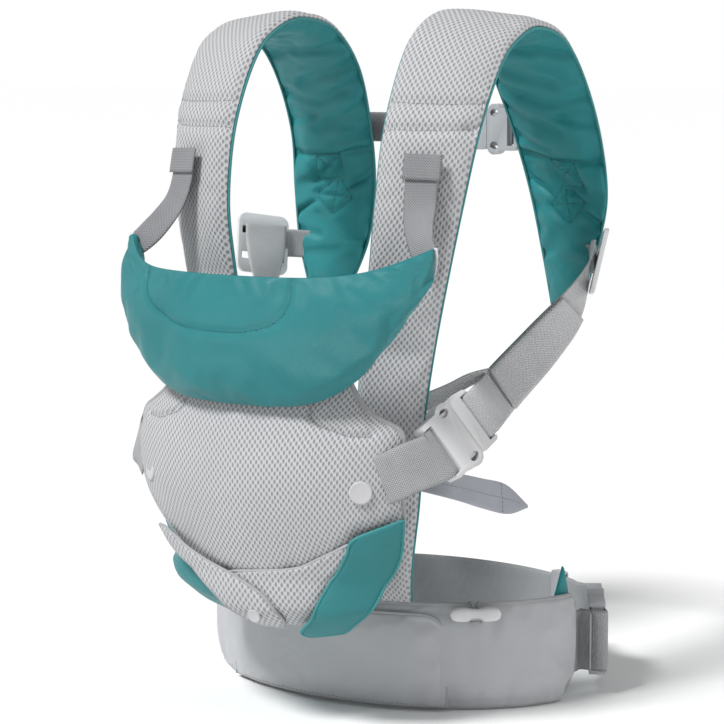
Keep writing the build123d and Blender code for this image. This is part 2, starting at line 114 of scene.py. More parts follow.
STRAP_INNER_EDGE = [
    (42, -120, 84.4), (43, -141, 150), (48, -151, 220), (55, -155, 290), (64, -158, 350),
    (69, -158, 400), (70, -146, 460), (69, -116, 515), (66, -80, 538), (65, -45, 541),
    (65, -8, 531), (64, 24, 500), (70, 51, 450), (77, 68, 400), (87, 72, 350), (102, 62, 306),
]
STRAP_OUTER_EDGE = [
    (94, -106, 84.4), (103, -128, 150), (111, -137, 220), (119, -138, 290), (127, -139, 350),
    (135, -138, 400), (142, -125, 460), (145, -98, 508), (147, -70, 528), (147, -42, 533),
    (148, -5, 523), (149, 26, 492), (151, 50, 445), (153, 58, 395), (146, 54, 350), (134, 52, 308),
]
PANEL_RINGS = [
    (118.6, 125, 88, -140, 27), (130, 129, 90, -141, 28), (160, 138, 94, -146, 30),
    (185, 141, 96, -149, 31), (210, 142, 95, -150, 31), (233, 139, 91, -150, 31),
    (244, 134, 88, -150, 39), (255, 129, 84, -150, 45), (277, 118, 77, -150, 50),
]
SEAT_AXIS_Y, SEAT_AXIS_Z = -140.0, 118.0
SEAT_FAN = [(0, 125, 88), (15, 124, 87), (30, 113, 75), (45, 100, 55), (60, 90, 44), (78, 82, 36)]
HEAD_HALF_WIDTH, HEAD_DEPTH, HEAD_CENTRE_Y, HEAD_END_ANGLE = 141.0, 93.0, -152.0, 20.0
HEAD_TOP, HEAD_BOTTOM, HORN_TOP, HORN_BOTTOM = 349.0, 252.0, 371.0, 347.0
SIDE_MOUTH = Vector((134, -138, 230))
SIDE_ALONG = Vector((0, 0.9305, 0.3662)).normalized()
SIDE_OUT = Vector((0.871, -0.18, 0.457))
TOGGLE_ANGLE, TOGGLE_HEIGHT = 45.0, 79.0

# ---- camera ----
CAMERA_AZIMUTH, CAMERA_ELEVATION, CAMERA_DISTANCE = 33.27, 7.14, 2.0
CAMERA_TARGET = Vector((-0.007, -0.060, 0.2641))
CAMERA_LENS = 122.68
SKY_LIGHT, SUN_LIGHT = 0.33, 3.1


def direction(azimuth, elevation):
    """The direction seen from the origin: azimuth is turned from -Y towards +X."""
    turn, tilt = math.radians(azimuth), math.radians(elevation)
    return Vector((math.sin(turn) * math.cos(tilt), -math.cos(turn) * math.cos(tilt), math.sin(tilt)))


def placed(name, data, place, facing):
    obj = bpy.data.objects.new(name, data)
    bpy.context.scene.collection.objects.link(obj)
    obj.location = place
    if facing:
        obj.rotation_euler = facing.to_track_quat("Z", "Y").to_euler()
    return obj


def make_camera():
    back = direction(CAMERA_AZIMUTH, CAMERA_ELEVATION)
    lens = bpy.data.cameras.new("camera")
    lens.lens = CAMERA_LENS
    bpy.context.scene.camera = placed("camera", lens, CAMERA_TARGET + back * CAMERA_DISTANCE, back)


def make_studio():
    """A pale floor under an even white sky, a soft sun over the camera's left shoulder and a
    weak lamp from the wearer's left. The sky is pure white only where the camera sees it."""
    world = bpy.data.worlds.new("studio")
    bpy.context.scene.world = world
    world.use_nodes = True
    sky = world.node_tree.nodes["Background"]
    sky.inputs["Color"].default_value = (1.0, 1.0, 1.0, 1.0)
    rays = world.node_tree.nodes.new("ShaderNodeLightPath")
    level = world.node_tree.nodes.new("ShaderNodeMapRange")
    world.node_tree.links.new(rays.outputs["Is Camera Ray"], level.inputs["Value"])
    level.inputs["To Min"].default_value = SKY_LIGHT
    world.node_tree.links.new(level.outputs["Result"], sky.inputs["Strength"])
    sun = bpy.data.lights.new("key", "SUN")
    sun.energy, sun.angle = SUN_LIGHT, math.radians(14)
    placed("key", sun, (0, 0, 0), direction(-18, 52))
    lamp = bpy.data.lights.new("side", "AREA")
    lamp.size, lamp.energy = 0.9, 7
    lamp_place = Vector((1.9, 0.6, 0.9))
    placed("side", lamp, lamp_place, lamp_place - Vector((0, -0.05, 0.27)))

    half, level = 30.0, cad_box[0][2] - 0.0006
    mesh = bpy.data.meshes.new("floor")
    corners = [(-half, -half, level), (half, -half, level), (half, half, level), (-half, half, level)]
    mesh.from_pydata(corners, [], [(0, 1, 2, 3)])
    floor = placed("floor", mesh, (0, 0, 0), None)
    look = Look("floor_paper")
    look.colour(look.mix(look.noise(9.0, 3.0), (0.93, 0.93, 0.93), (0.95, 0.95, 0.95)))
    look.shader.inputs["Roughness"].default_value = 0.9
    floor.data.materials.append(look.material)
    bpy.context.scene.view_settings.view_transform = "Standard"


# ---- materials ----
class Look:
    """A material under construction. Sockets are joined by plain method calls."""

    def __init__(self, name):
        self.material = bpy.data.materials.new(name)
        self.material.use_nodes = True
        self.tree = self.material.node_tree
        self.shader = self.tree.nodes["Principled BSDF"]

    def feed(self, socket, value):
        if isinstance(value, bpy.types.NodeSocket):
            self.tree.links.new(value, socket)
        elif isinstance(value, tuple) and len(value) == 3 and socket.type == "RGBA":
            socket.default_value = (*value, 1.0)
        else:
            socket.default_value = value

    def node(self, kind, inputs, output=0, **settings):
        """Adds a node with its settings and inputs, and gives one of its outputs."""
        node = self.tree.nodes.new("ShaderNode" + kind)
        for setting, value in settings.items():
            setattr(node, setting, value)
        for socket, value in inputs.items():
            self.feed(node.inputs[socket], value)
        return node.outputs[output]

    def math(self, operation, a, b=0.0):
        return self.node("Math", {0: a, 1: b}, operation=operation)

    def plus(self, a, b):
        return self.math("ADD", a, b)

    def times(self, a, b):
        return self.math("MULTIPLY", a, b)

    def smooth(self, value, low, high):
        """0 below low and 1 above high, easing between."""
        inputs = {"Value": value, "From Min": low, "From Max": high}
        return self.node("MapRange", inputs, "Result", interpolation_type="SMOOTHSTEP")

    def mix(self, share, a, b):
        return self.node("Mix", {"Factor": share, 6: a, 7: b}, 2, data_type="RGBA")

    def cloth(self):
        """The cloth coordinates in millimetres, across and along."""
        places = self.node("UVMap", {}, "UV", uv_map=CLOTH)
        split = self.node("SeparateXYZ", {0: places}).node
        return self.times(split.outputs["X"], 1000), self.times(split.outputs["Y"], 1000)

    def noise(self, scale, detail=2.0, roughness=0.5):
        place = self.node("TexCoord", {}, "Object")
        inputs = {"Vector": place, "Scale": scale, "Detail": detail, "Roughness": roughness}
        return self.node("TexNoise", inputs, "Fac")

    def dots(self, across, along, pitch, size, shift):
        """Distance from the nearest dot of a grid, 1 on the dot's rim."""
        total = None
        for value, step, half, offset in zip((across, along), pitch, size, shift):
            cell = self.math("FRACT", self.plus(self.math("DIVIDE", value, step), offset))
            away = self.times(self.math("SUBTRACT", cell, 0.5), step / half)
            square = self.times(away, away)
            total = square if total is None else self.plus(total, square)
        return self.math("SQRT", total)

    def staggered(self, across, along, pitch, size):
        one = self.dots(across, along, pitch, size, (0.0, 0.0))
        other = self.dots(across, along, pitch, size, (0.5, 0.5))
        return self.math("MINIMUM", one, other)

    def colour(self, value):
        self.feed(self.shader.inputs["Base Color"], value)

    def bump(self, height, depth_mm, strength=1.0):
        inputs = {"Strength": strength, "Distance": depth_mm * MM, "Height": height}
        self.feed(self.shader.inputs["Normal"], self.node("Bump", inputs, "Normal"))

    def finish(self, roughness, sheen=0.0, specular=0.5):
        self.feed(self.shader.inputs["Roughness"], roughness)
        self.shader.inputs["Sheen Weight"].default_value = sheen
        self.shader.inputs["Sheen Roughness"].default_value = 0.4
        self.shader.inputs["Specular IOR Level"].default_value = specular
        return self.material


def spacer_mesh(name, hole, dark, light):
    """Knitted spacer fabric: rows of tall oval holes, each row set half a step aside."""
    look = Look(name)
    across, along = look.cloth()
    solid = look.smooth(look.staggered(across, along, (4.6, 6.0), (0.95, 1.75)), 0.45, 1.35)
    fibre = look.noise(2600.0)
    yarn = look.mix(look.times(fibre, look.noise(14.0, 3.0)), dark, light)
    # Painted shade: the holes take the dark hole colour where shade would fall inside them; the bump only
    # sinks them.
    look.colour(look.mix(solid, hole, yarn))
    look.bump(look.plus(solid, look.times(fibre, 0.25)), 0.8, 0.8)
    return look.finish(0.82, 0.1, 0.25)


def tricot(name, dark, light, gloss):
    """Smooth warp knit with fine slanted loops and a soft sheen."""
    look = Look(name)
    across, along = look.cloth()
    loop = look.smooth(look.staggered(across, along, (1.15, 1.5), (0.5, 0.62)), 0.35, 1.2)
    cloud = look.noise(22.0, 3.0)
    shade = tuple(c * 0.62 for c in dark)
    look.colour(look.mix(look.times(loop, 0.32), look.mix(cloud, dark, light), shade))
    soft = look.plus(look.times(look.noise(70.0), 1.6), look.times(look.noise(1900.0), 0.3))
    look.bump(look.math("SUBTRACT", soft, loop), 0.28, 0.8)
    return look.finish(look.plus(look.times(cloud, 0.12), gloss - 0.06), 0.04, 0.5)


def satin(name, dark, light, gloss):
    """Fine woven lining cloth: a very fine twill, soft creases and a broad sheen."""
    look = Look(name)
    across, along = look.cloth()
    twill = look.math("SINE", look.times(look.plus(across, look.times(along, 1.7)), 9.0))
    cloud = look.noise(17.0, 4.0)
    crease = look.noise(48.0, 3.0, 0.55)
    look.colour(look.mix(look.plus(look.times(twill, 0.08), cloud), dark, light))
    look.bump(look.plus(look.times(crease, 5.0), look.times(twill, 0.10)), 0.30, 0.7)
    return look.finish(look.plus(look.times(cloud, 0.14), gloss - 0.07), 0.15, 0.45)


def webbing_look(name, dark, light, rib):
    """Woven webbing: ribs across the run, broken by the warp."""
    look = Look(name)
    across, along = look.cloth()
    weft = look.math("SINE", look.times(along, 2 * math.pi / rib))
    check = look.times(weft, look.math("SINE", look.times(across, 2 * math.pi / (rib * 0.9))))
    cloud = look.plus(look.times(look.noise(30.0, 3.0), 0.4), 0.3)
    look.colour(look.mix(look.plus(look.times(check, 0.42), cloud), dark, light))
    yarns = look.plus(look.times(weft, 0.5), look.times(look.noise(1500.0), 0.4))
    look.bump(look.plus(check, yarns), 0.40, 0.7)
    return look.finish(0.66, 0.1, 0.35)


def plastic(name, dark, light, gloss):
    """Moulded acetal: faint flow marks, a fine spark texture and worn, glossier patches."""
    look = Look(name)
    flow = look.noise(35.0, 3.0)
    look.colour(look.mix(flow, dark, light))
    look.bump(look.plus(look.noise(2200.0), look.times(flow, 1.5)), 0.05, 0.6)
    return look.finish(look.plus(look.times(flow, 0.16), gloss - 0.08))


def thread(name, colour):
    """Twisted sewing thread."""
    look = Look(name)
    twist = look.noise(1400.0)
    look.colour(look.mix(twist, tuple(c * 0.75 for c in colour), colour))
    look.bump(twist, 0.1, 0.6)
    return look.finish(0.6, 0.2, 0.4)


LOOKS = {row[1]: row[0](*row[1:]) for row in (
    (spacer_mesh, "spacer_mesh", (0.29, 0.295, 0.31), (0.49, 0.495, 0.51), (0.67, 0.67, 0.68)),
    # Painted light: teal_lining is the same teal cloth painted lighter than the head support's and seat's,
    # to make up for the shade that the linings sit in.
    (tricot, "teal_lining", (0.006, 0.235, 0.255), (0.016, 0.320, 0.340), 0.36),
    (tricot, "teal_headrest", (0.004, 0.180, 0.197), (0.012, 0.240, 0.256), 0.36),
    (tricot, "teal_seat", (0.010, 0.185, 0.200), (0.020, 0.240, 0.255), 0.46),
    (satin, "belt_satin", (0.415, 0.425, 0.445), (0.520, 0.530, 0.550), 0.42),
    (satin, "tab_satin", (0.30, 0.32, 0.36), (0.42, 0.44, 0.48), 0.34),
    (webbing_look, "webbing_grey", (0.13, 0.135, 0.145), (0.40, 0.405, 0.42), 2.1),
    # Painted shade: this is the light webbing painted darker, for the waist webbing, the pouch's side
    # webbing and the adjuster tie where they sit in shade.
    (webbing_look, "webbing_middle", (0.19, 0.195, 0.205), (0.56, 0.565, 0.58), 2.1),
    (webbing_look, "webbing_light", (0.34, 0.345, 0.355), (0.74, 0.74, 0.75), 2.1),
    (plastic, "plastic_grey", (0.40, 0.41, 0.43), (0.46, 0.47, 0.49), 0.36),
    (plastic, "plastic_white", (0.66, 0.66, 0.67), (0.72, 0.72, 0.73), 0.33),
    (plastic, "plastic_button", (0.50, 0.50, 0.51), (0.56, 0.56, 0.57), 0.42),
    (webbing_look, "cord_grey", (0.26, 0.265, 0.28), (0.46, 0.465, 0.48), 0.8),
    (thread, "thread_grey", (0.34, 0.345, 0.36)),
    (thread, "thread_teal", (0.015, 0.16, 0.17)),
    (tricot, "binding_grey", (0.36, 0.365, 0.38), (0.50, 0.505, 0.515), 0.62),
    (tricot, "binding_teal", (0.030, 0.245, 0.255), (0.050, 0.315, 0.32), 0.55),
)}


# ---- curves ----
def along(points, at):
    """The place at a number of steps along a smooth curve through every given point."""
    last = len(points) - 1
    at = min(max(at, 0.0), last)
    first = min(int(at), last - 1)
    share = at - first
    four = (points[max(first - 1, 0)], points[first], points[first + 1], points[min(first + 2, last)])
    place = []
    for before, start, end, after in zip(*four):
        bend = 2 * before - 5 * start + 4 * end - after
        twist = 3 * start - before - 3 * end + after
        place.append(start + 0.5 * ((end - before) * share + bend * share**2 + twist * share**3))
    return place


def spaced(low, high, count):
    return [low + (high - low) * i / (count - 1) for i in range(count)]


def eased(count, pull=0.55):
    """Shares from 0 to 1 that crowd towards both ends."""
    shares = spaced(0.0, 1.0, count)
    return [(1 - pull) * s + pull * (0.5 - 0.5 * math.cos(math.pi * s)) for s in shares]


def dome(share, power=3.2):
    """0 at both ends of a width, rising steeply to 1 over its middle."""
    return math.sqrt(max(0.0, 1 - abs(2 * share - 1) ** power))


def wave(place, size, seed=0.0):
    """Smooth seeded noise from -1 to 1 with features of about size millimetres."""
    return noise.noise(Vector(place) / size + Vector((seed, seed * 1.7, -seed)))


def bell(distance, width):
    return math.exp(-((distance / width) ** 2))


def vectors(*places):
    return [Vector(place) for place in places]


def blended(start, end, share):
    return (start * (1 - share) + end * share).normalized()


# ---- mesh makers ----
def piece(name, places, faces, coordinates, look):
    """A mesh object from places in millimetres, with its cloth coordinates as UVs."""
    mesh = bpy.data.meshes.new(name)
    mesh.from_pydata([Vector(p) * MM for p in places], [], faces)
    mesh.update()
    uv = mesh.uv_layers.new(name=CLOTH)
    for loop in mesh.loops:
        u, v = coordinates[loop.vertex_index]
        uv.data[loop.index].uv = (u * MM, v * MM)
    obj = bpy.data.objects.new(name, mesh)
    bpy.context.scene.collection.objects.link(obj)
    work = bmesh.new()
    work.from_mesh(mesh)
    bmesh.ops.recalc_face_normals(work, faces=work.faces)
    for face in work.faces:
        face.smooth = True
    work.to_mesh(mesh)
    work.free()
    mesh.materials.append(LOOKS[look])
    return obj


def layer(name, surface, face, back, shares, steps, look, hung=False, cut=None):
    """A closed piece between two offsets of a surface. surface(s, t) gives a place and
    the direction that the piece faces there; face and back are offsets along it. A hung
    piece measures its lengths from its last row, each column on its own. cut(s, t), where
    it is given, says where the cloth's own yarns lie."""
    rows = [[surface(s, t) for s in shares] for t in steps]
    wide, tall = len(shares), len(steps)
    middle = wide // 2
    places, coordinates = [], []
    run = 0.0
    for i, row in enumerate(rows):
        if i:
            run += (row[middle][0] - rows[i - 1][middle][0]).length
        reach = [0.0]
        for a, b in zip(row, row[1:]):
            reach.append(reach[-1] + (b[0] - a[0]).length)
        for j, (place, out) in enumerate(row):
            places.append(place + out * face(shares[j], steps[i]))
            coordinates.append((reach[j] - reach[middle], run))
    for i, row in enumerate(rows):
        for j, (place, out) in enumerate(row):
            places.append(place + out * back(shares[j], steps[i]))
    size = wide * tall
    if hung:
        fall = [0.0] * wide
        for i in range(tall - 1, -1, -1):
            for j in range(wide):
                if i < tall - 1:
                    fall[j] += (rows[i + 1][j][0] - rows[i][j][0]).length
                coordinates[i * wide + j] = (coordinates[i * wide + j][0], run - fall[j])
    if cut:
        coordinates = [cut(s, t) for t in steps for s in shares]
    coordinates = coordinates + coordinates
    faces = []
    for i in range(tall - 1):
        for j in range(wide - 1):
            a, b = i * wide + j, i * wide + j + 1
            faces.append((a, b, b + wide, a + wide))
            faces.append((size + a, size + a + wide, size + b + wide, size + b))
    rim = list(range(wide)) + [i * wide + wide - 1 for i in range(1, tall)]
    rim += [(tall - 1) * wide + j for j in range(wide - 2, -1, -1)]
    rim += [i * wide for i in range(tall - 2, 0, -1)]
    for a, b in zip(rim, rim[1:] + rim[:1]):
        faces.append((a, b, size + b, size + a))
    obj = piece(name, places, faces, coordinates, look)
    front = obj.vertex_groups.new(name="front")
    front.add(list(range(size)), 1.0, "REPLACE")
    held = obj.vertex_groups.new(name="held")
    held.add(list(range(size, 2 * size)) + rim, 1.0, "REPLACE")
    return obj


def refine(obj):
    """Subdivides a piece smoothly, once."""
    modifier = obj.modifiers.new("refine", "SUBSURF")
    modifier.levels = modifier.render_levels = 1
    apply_modifiers(obj)


def apply_modifiers(obj):
    graph = bpy.context.evaluated_depsgraph_get()
    shape = obj.evaluated_get(graph)
    mesh = bpy.data.meshes.new_from_object(shape, preserve_all_data_layers=True, depsgraph=graph)
    obj.modifiers.clear()
    obj.data = mesh


CLOTH_SETTINGS = {
    "quality": 4, "mass": 0.25, "tension_stiffness": 12, "compression_stiffness": 8,
    "shear_stiffness": 5, "bending_stiffness": 0.12, "use_pressure": True,
    "vertex_group_mass": "held",
}


def simulate(jobs, frames=16):
    """Blows the padded pieces up as cloth, held along their seams, all in one run. Each
    job is (piece, pressure, growth of the cloth, most that a point may move in mm)."""
    if not jobs:
        return
    scene = bpy.context.scene
    scene.frame_start, scene.frame_end = 1, frames
    for obj, pressure, growth, _ in jobs:
        cloth = obj.modifiers.new("cloth", "CLOTH")
        for setting, value in CLOTH_SETTINGS.items():
            setattr(cloth.settings, setting, value)
        cloth.settings.uniform_pressure_force = pressure
        cloth.settings.shrink_min = -growth
        cloth.settings.effector_weights.gravity = 0.0
        cloth.point_cache.frame_start, cloth.point_cache.frame_end = 1, frames
    for number in range(1, frames + 1):
        scene.frame_set(number)
    graph = bpy.context.evaluated_depsgraph_get()
    for obj, _, _, most in jobs:
        shaped = [v.co.copy() for v in obj.evaluated_get(graph).data.vertices]
        obj.modifiers.clear()
        for vertex, target in zip(obj.data.vertices, shaped):
            move = target - vertex.co
            if move.length > most * MM:
                move = move * (most * MM / move.length)
            vertex.co = vertex.co + move
        obj.data.update()
    scene.frame_set(1)


class Spots:
    """Finds places on the front of a piece from its cloth coordinates."""

    def __init__(self, obj):
        mesh = obj.data
        front = obj.vertex_groups["front"].index
        chosen = {vertex.index: vertex for vertex in mesh.vertices
                  if any(g.group == front and g.weight > 0.6 for g in vertex.groups)}
        self.rows = []
        for loop in mesh.loops:
            vertex = chosen.pop(loop.vertex_index, None)
            if vertex:
                u, v = mesh.uv_layers[CLOTH].data[loop.index].uv
                self.rows.append((u / MM, v / MM, vertex))
        self.tree = kdtree.KDTree(len(self.rows))
        for i, (u, v, _) in enumerate(self.rows):
            self.tree.insert((u, v, 0), i)
        self.tree.balance()

    def at(self, u, v):
        place, out, total = Vector(), Vector(), 0.0
        for _, i, away in self.tree.find_n((u, v, 0), 4):
            weight = 1 / (away * away + 0.05)
            vertex = self.rows[i][2]
            place += vertex.co * weight
            out += vertex.normal * weight
            total += weight
        return place / total / MM, out.normalized()


def walk(route, pitch):
    """Even steps along a polyline of cloth coordinates."""
    marks = []
    for (u0, v0), (u1, v1) in zip(route, route[1:]):
        length = math.hypot(u1 - u0, v1 - v0)
        count = max(1, round(length / pitch))
        marks += [(u0 + (u1 - u0) * i / count, v0 + (v1 - v0) * i / count) for i in range(count)]
    return marks + [route[-1]]


def arc_route(points, count=30):
    return [tuple(along(points, t)) for t in spaced(0, len(points) - 1, count)]


def sew(obj, routes, depth=1.6, width=2.6):
    """Pulls the cloth in along seams given in cloth coordinates."""
    spots = Spots(obj)
    moves = {}
    for route in routes:
        marks = walk(route, 1.5)
        near = kdtree.KDTree(len(marks))
        for i, (u, v) in enumerate(marks):
            near.insert((u, v, 0), i)
        near.balance()
        for u, v, vertex in spots.rows:
            away = near.find((u, v, 0))[2]
            if away < 3 * width:
                moves[vertex.index] = max(moves.get(vertex.index, 0.0), bell(away, width))
    normals = {i: obj.data.vertices[i].normal.copy() for i in moves}
    for i, share in moves.items():
        obj.data.vertices[i].co -= normals[i] * (depth * MM * share)
    obj.data.update()


def stitches(name, obj, routes, look="thread_grey", pitch=3.6):
    """Short raised stitches lying on a piece along routes of cloth coordinates."""
    radius, sink = 0.32, 0.1
    spots = Spots(obj)
    places, faces = [], []
    for route in routes:
        marks = walk(route, pitch)
        for (u0, v0), (u1, v1) in zip(marks, marks[1:]):
            ends = []
            for share in (0.14, 0.30, 0.70, 0.86):
                ends.append(spots.at(u0 + (u1 - u0) * share, v0 + (v1 - v0) * share))
            run = ends[3][0] - ends[0][0]
            if run.length < 0.3:
                continue
            start = len(places)
            lifts = (-sink, radius - sink, radius - sink, -sink)
            wides = (0.12, 1.0, 1.0, 0.12)
            for (place, out), lift, wide in zip(ends, lifts, wides):
                side = run.cross(out).normalized() * (radius * wide)
                up = out * (radius * wide)
                centre = place + out * lift
                places += [centre - side, centre + up, centre + side, centre - up]
            for ring in range(3):
                for k in range(4):
                    a, b = start + ring * 4 + k, start + ring * 4 + (k + 1) % 4
                    faces.append((a, b, b + 4, a + 4))
            faces.append((start, start + 1, start + 2, start + 3))
            faces.append((start + 15, start + 14, start + 13, start + 12))
    return piece(name, places, faces, [(0.0, 0.0)] * len(places), look)


def ring_faces(count, sides, closed=False, capped=True):
    """The quads between rings of points, one ring after another, and the two end faces."""
    faces = []
    total = count * sides
    for i in range(count if closed else count - 1):
        for k in range(sides):
            a, b = i * sides + k, i * sides + (k + 1) % sides
            faces.append((a, b, (b + sides) % total, (a + sides) % total))
    if capped and not closed:
        faces.append(tuple(range(sides))[::-1])
        faces.append(tuple(range(total - sides, total)))
    return faces


def tube(name, path, radius, look, sides=10, flatten=1.0, out=None, closed=False):
    """A round or oval band along a path, such as piping or a bound edge."""
    places, coordinates = [], []
    count = len(path)
    travelled, up = 0.0, None
    for i, place in enumerate(path):
        before = path[i - 1] if (closed or i) else path[i]
        after = path[(i + 1) % count] if (closed or i + 1 < count) else path[i]
        run = (after - before).normalized()
        if out is not None:
            up = out[i]
        elif up is None:
            up = Vector((0, 0, 1)) if abs(run.z) < 0.9 else Vector((1, 0, 0))
        up = (up - run * up.dot(run)).normalized()
        side = run.cross(up)
        if i:
            travelled += (place - path[i - 1]).length
        for k in range(sides):
            turn = 2 * math.pi * k / sides
            across, above = math.cos(turn) * radius, math.sin(turn) * radius * flatten
            places.append(place + side * across + up * above)
            coordinates.append((turn * radius, travelled))
    return piece(name, places, ring_faces(count, sides, closed), coordinates, look)


def outline(surface, low, high, long, inset, short):
    """Once round a surface's edge, from its first corner, as (place, direction faced)."""
    edge = [surface(0, t) for t in spaced(low, high, long)]
    edge += [surface(s, high) for s in spaced(inset, 1 - inset, short)]
    edge += [surface(1, t) for t in spaced(high, low, long)]
    return edge + [surface(s, low) for s in spaced(1 - inset, inset, short)]


def bound(name, edge, offset, radius, look, sides=10):
    """A binding round an outline, moved along the direction that the edge faces."""
    path = [place + out * offset for place, out in edge]
    return tube(name, path, radius, look, sides, closed=True, out=[out for _, out in edge])


def smooth_run(stations):
    """Resamples (place, across) stations on a smooth curve, 3 mm or less at a time."""
    places = [tuple(p) for p, _ in stations]
    spreads = [tuple(a) for _, a in stations]
    result = []
    for i in range(len(stations) - 1):
        length = (stations[i + 1][0] - stations[i][0]).length
        count = max(2, math.ceil(length / 3.0))
        for k in range(count):
            at = i + k / count
            result.append((Vector(along(places, at)), Vector(along(spreads, at)).normalized()))
    result.append(stations[-1])
    return result


def webbing(name, places, across, width, look, thick=WEBBING_THICK, lift=0.0, trim=lambda share: 1.0):
    """Woven webbing with thick rounded selvedges. Its run is given as places that share
    one direction across, or with across None as (place, across) stations."""
    run_list = smooth_run([(place, across) for place in places] if across else places)
    profile = []
    for share in eased(11, 0.5):
        side = 2 * share - 1
        bead = 1 + 0.22 * bell((1 - abs(side)) * width / 2 - 1.4, 1.0)
        profile.append((side, bead * math.sqrt(max(0.0, 1 - abs(side) ** 26))))
    outer = profile + [(side, -tall) for side, tall in profile[-2:0:-1]]
    corners, coordinates = [], []
    travelled, last = 0.0, len(run_list) - 1
    for i, (place, across) in enumerate(run_list):
        before, after = run_list[max(i - 1, 0)][0], run_list[min(i + 1, last)][0]
        if i:
            travelled += (place - run_list[i - 1][0]).length
        run = (after - before).normalized()
        out = run.cross(across).normalized()
        side_way = out.cross(run).normalized()
        half = width / 2 * trim(i / last)
        for side, tall in outer:
            corners.append(place + side_way * (side * half) + out * (lift + tall * thick / 2))
            coordinates.append((side * half, travelled))
    return piece(name, corners, ring_faces(len(run_list), len(outer)), coordinates, look)


def moulded(node, look, edge):
    """A plastic part with the CAD part's shape and moulded edges, edge mm in radius."""
    source = frame["nodes"][node]
    obj = bpy.data.objects.new("moulded_" + node, source.data.copy())
    bpy.context.scene.collection.objects.link(obj)
    work = bmesh.new()
    work.from_mesh(obj.data)
    bmesh.ops.remove_doubles(work, verts=work.verts, dist=0.00002)
    bmesh.ops.dissolve_limit(work, angle_limit=math.radians(4), verts=work.verts, edges=work.edges)
    for face in work.faces:
        face.smooth = True
    work.to_mesh(obj.data)
    work.free()
    bevel = obj.modifiers.new("edges", "BEVEL")
    bevel.width = edge * MM
    bevel.segments = 2
    bevel.limit_method = "ANGLE"
    bevel.angle_limit = math.radians(35)
    bevel.harden_normals = True
    apply_modifiers(obj)
    obj.data.materials.clear()
    obj.data.materials.append(LOOKS[look])
    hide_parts(node)
    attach(obj, body_of(source)[0])
    return obj


def mirrored(obj, name):
    """The same piece on the wearer's right, as its own mesh."""
    twin = bpy.data.objects.new(name, obj.data.copy())
    bpy.context.scene.collection.objects.link(twin)
    work = bmesh.new()
    work.from_mesh(twin.data)
    for vertex in work.verts:
        vertex.co.x = -vertex.co.x
    bmesh.ops.reverse_faces(work, faces=work.faces)
    work.to_mesh(twin.data)
    work.free()
    for group in obj.vertex_groups:
        twin.vertex_groups.new(name=group.name)
    return twin


def pair(obj, slot, nodes=(), body="carrier", sheet=None):
    """Settles a piece on the wearer's left, and its mirror image on the right. A node, and
    a moving body that has two sides, is given here without its side."""
    twin = mirrored(obj, obj.name.replace("_left", "_right"))
    for side, sign, made in (("_left", 1, obj), ("_right", -1, twin)):
        body_here = body + side if body == "toggle" else body
        if isinstance(body, tuple):
            moving, fixed, start, end = body
            moving += side if moving == "side_plug" else ""
            flip = Vector((sign, 1, 1))
            body_here = (moving, fixed, Vector(start) * flip, Vector(end) * flip)
        settle(made, slot, body_here, [node + side for node in nodes], sheet)


def settle(obj, slot, body="carrier", nodes=(), sheet=None):
    """Rides a finished piece on its body and hides the CAD nodes that it stands in for."""
    if nodes:
        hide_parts(*nodes)
    if sheet is not None:
        flat, held, rests, area = sheet
        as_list(rests)
    if isinstance(body, tuple):
        a, b, start, end = body
        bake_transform(obj, a, b, start=Vector(start) * MM, end=Vector(end) * MM)
    else:
        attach(obj, body)
    return obj


# ---- waist belt ----
# The padded pieces to blow up: (piece, pressure, growth of the cloth, most move in mm).
PADS = []


def belt_place(angle, height):
    turn = math.radians(angle)
    place = Vector((BELT_HALF_WIDTH * math.cos(turn), -BELT_HALF_DEPTH * math.sin(turn), height))
    out = Vector((math.cos(turn) / BELT_HALF_WIDTH, -math.sin(turn) / BELT_HALF_DEPTH, 0)).normalized()
    return place, out


def belt_surface(share, angle):
    """The belt's middle sheet, with its lower corners cut off at the two ends."""
    edge = min(angle - BELT_PAD_END, 180 - BELT_PAD_END - angle)
    low = 24 * max(0.0, 1 - edge / 8.0)
    high = BELT_HEIGHT - 8 * max(0.0, 1 - edge / 3.0) ** 2
    return belt_place(angle, low + (high - low) * share)


def belt_ends(angle):
    return dome((angle - BELT_PAD_END) / (180 - 2 * BELT_PAD_END), 50)


def belt_swell(share, angle):
    """Soft folds in the satin: upright ones, and tight gathers beside each toggle."""
    place, _ = belt_place(angle, BELT_HEIGHT * share)
    upright = wave((place.x, place.y, place.z * 0.35), 26) * 2.2
    upright += wave((place.x, place.y, place.z * 0.5), 11, 3.0) * 0.6
    upright += wave((place.x * 2.5, place.y * 2.5, place.z * 0.5), 14, 4.0) * bell(share, 0.22) * 1.3
    near = max(bell(angle - TOGGLE_ANGLE, 6.5), bell(angle - 180 + TOGGLE_ANGLE, 6.5))
    upright += near * bell(share - 1, 0.30) * 1.5 * math.sin(angle * 3.3)
    return upright * dome(share, 6)


